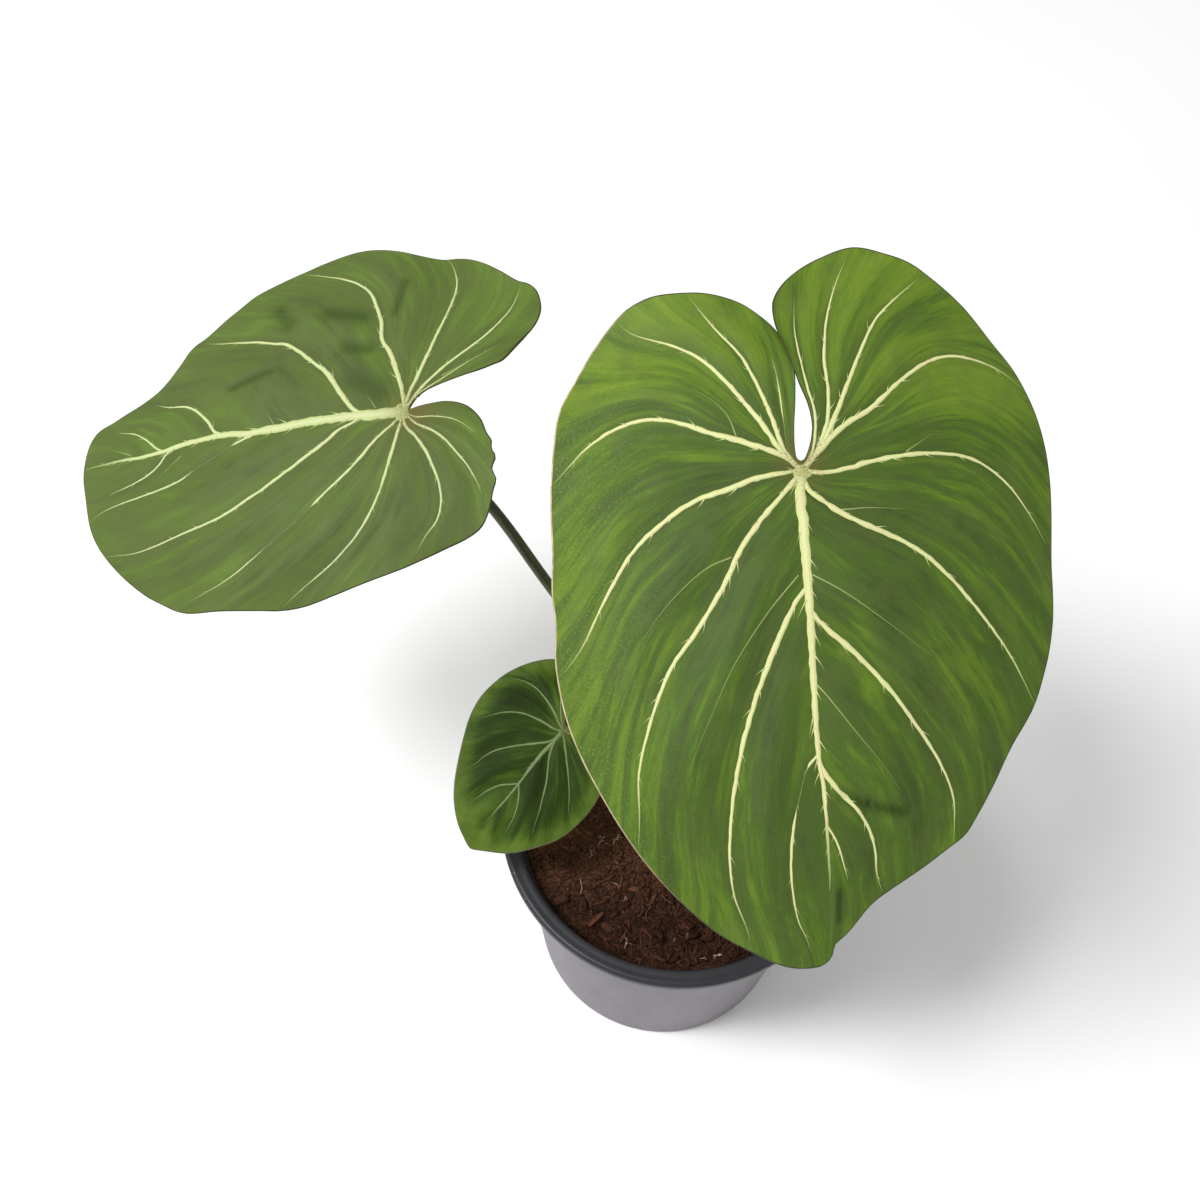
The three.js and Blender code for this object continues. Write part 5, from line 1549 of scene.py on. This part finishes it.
def add_flecks(build, rng):
    """A few clusters of pale bits, where the photo shows them."""
    for x, y, spread, count in FLECKS:
        for _ in range(count):
            place = (x + spread * rng.normal(), y + 0.6 * spread * rng.normal())
            lump(build, rng, *place, rng.uniform(0.3, 0.7), rng.uniform(0.88, 1))
            heading, length = rng.uniform(0, 6), rng.uniform(1.5, 4)
            fibre(build, rng, *place, heading, length, bend=0.3, tone=0.95, thick=0.2)


def lump(build, rng, x, y, size, tone):
    """One angular crumb."""
    spin, tip = rng.uniform(0, 2 * math.pi), rng.normal(0, 0.4)
    stretch = np.array([rng.uniform(1.1, 2.7), rng.uniform(0.45, 0.8), rng.uniform(0.25, 0.5)])
    slopes = [math.pi * ring / (LUMP_RINGS + 1) for ring in range(1, LUMP_RINGS + 1)]
    rings = [circle(math.sin(slope), math.cos(slope), LUMP_SIDES) for slope in slopes]
    points = np.vstack([(0, 0, 1), *rings, (0, 0, -1)])
    points = points * rng.uniform(0.7, 1.15, (len(points), 1)) * stretch * size
    turn = Matrix.Rotation(spin, 3, "Z") @ Matrix.Rotation(tip, 3, "X")
    points = points @ np.array(turn).T + (x, y, float(soil_height(x, y)) + 0.25 * size)
    build.add(points, capped_faces(LUMP_RINGS, LUMP_SIDES), tone=tone, bit=1)


def fibre(build, rng, x, y, heading, length, bend, tone=None, thick=None):
    """One fibre that bends as it goes and stays inside the pot."""
    knots = []
    lift = rng.uniform(0.1, 1.3)
    for step in range(FIBRE_KNOTS):
        inward = min(1, (SOIL_RADIUS - 1.5) / max(math.hypot(x, y), 1))
        x, y = x * inward, y * inward
        rise = lift * math.sin(math.pi * (step + 0.5) / FIBRE_KNOTS) + 0.15
        knots.append((x, y, float(soil_height(x, y)) + rise))
        x += length / (FIBRE_KNOTS - 1) * math.cos(heading)
        y += length / (FIBRE_KNOTS - 1) * math.sin(heading)
        heading += bend + rng.normal(0, 0.25)
    thick = thick or rng.uniform(0.12, 0.36)
    tone = rng.beta(1.7, 2.8) * 0.95 if tone is None else tone
    tube(build, Path(knots), tapered(thick, 1.05), 4, 6, tone=tone)


# The plant in its pot

pale_veins = vein_material("veins_pale", PALE_VEINS)
left_veins = vein_material("veins_left", LEFT_VEINS)
dull_veins = vein_material("veins_dull", DULL_VEINS)
under_veins = vein_material("veins_under", UNDER_VEINS)
stalk_look = stalk_material()

blade_piece("large", LARGE_LEAF, LARGE_LOOK, 1, "blade")
blade_piece("left", LEFT_LEAF, LEFT_LOOK, 0, "blade")
blade_piece("small", SMALL_LEAF, SMALL_LOOK, 0.15, "young_blade")
veins_piece("large", LARGE_LEAF, pale_veins, "veins", seed=21)
veins_piece("left", LEFT_LEAF, left_veins, "veins", seed=22)
veins_piece("small", SMALL_LEAF, dull_veins, "young_veins", seed=23, scale=0.5)
under_veins_piece("large", LARGE_LEAF, under_veins, "veins")
under_veins_piece("left", LEFT_LEAF, under_veins, "veins")
under_veins_piece("small", SMALL_LEAF, under_veins, "young_veins")
for stalk_name, one_stalk in STALKS.items():
    stalk_piece(stalk_name, one_stalk, stalk_look)
rhizome_piece(rhizome_material())
sheath_piece(sheath_material())
soil_piece(soil_material())
pot_piece(pot_material())


# Floor and light

FLOOR_HALF = 4000
FLOOR_DROP = 0.2
WORLD_STRENGTH = 0.56
LAMP_SIZE = 0.7
LAMP_TARGET = (0, 0, 0.2)

corners = [(FLOOR_HALF * x, FLOOR_HALF * y, 0) for x, y in ((-1, -1), (1, -1), (1, 1), (-1, 1))]
floor_mesh = new_mesh("floor", corners, [(0, 1, 2, 3)])
floor_mesh.materials.append(floor_material())
floor = add_object("floor", floor_mesh)
floor.location.z = -FLOOR_DROP * MM

world = bpy.data.worlds.new("world")
world.use_nodes = True
background = world.node_tree.nodes["Background"].inputs
background["Color"].default_value = (1, 1, 1, 1)
background["Strength"].default_value = WORLD_STRENGTH
scene.world = world


def area_light(name, place, energy):
    """A round lamp, with its place in metres, that faces the plant."""
    data = bpy.data.lights.new(name, "AREA")
    data.shape, data.size, data.energy = "DISK", LAMP_SIZE, energy
    aim = Vector(LAMP_TARGET) - Vector(place)
    turn = aim.to_track_quat("-Z", "Y").to_matrix().to_4x4()
    add_object(name, data).matrix_world = Matrix.Translation(place) @ turn


area_light("key", (-0.95, -0.36, 2.26), 31)
area_light("side", (-1.7, -0.36, 2.1), 27)
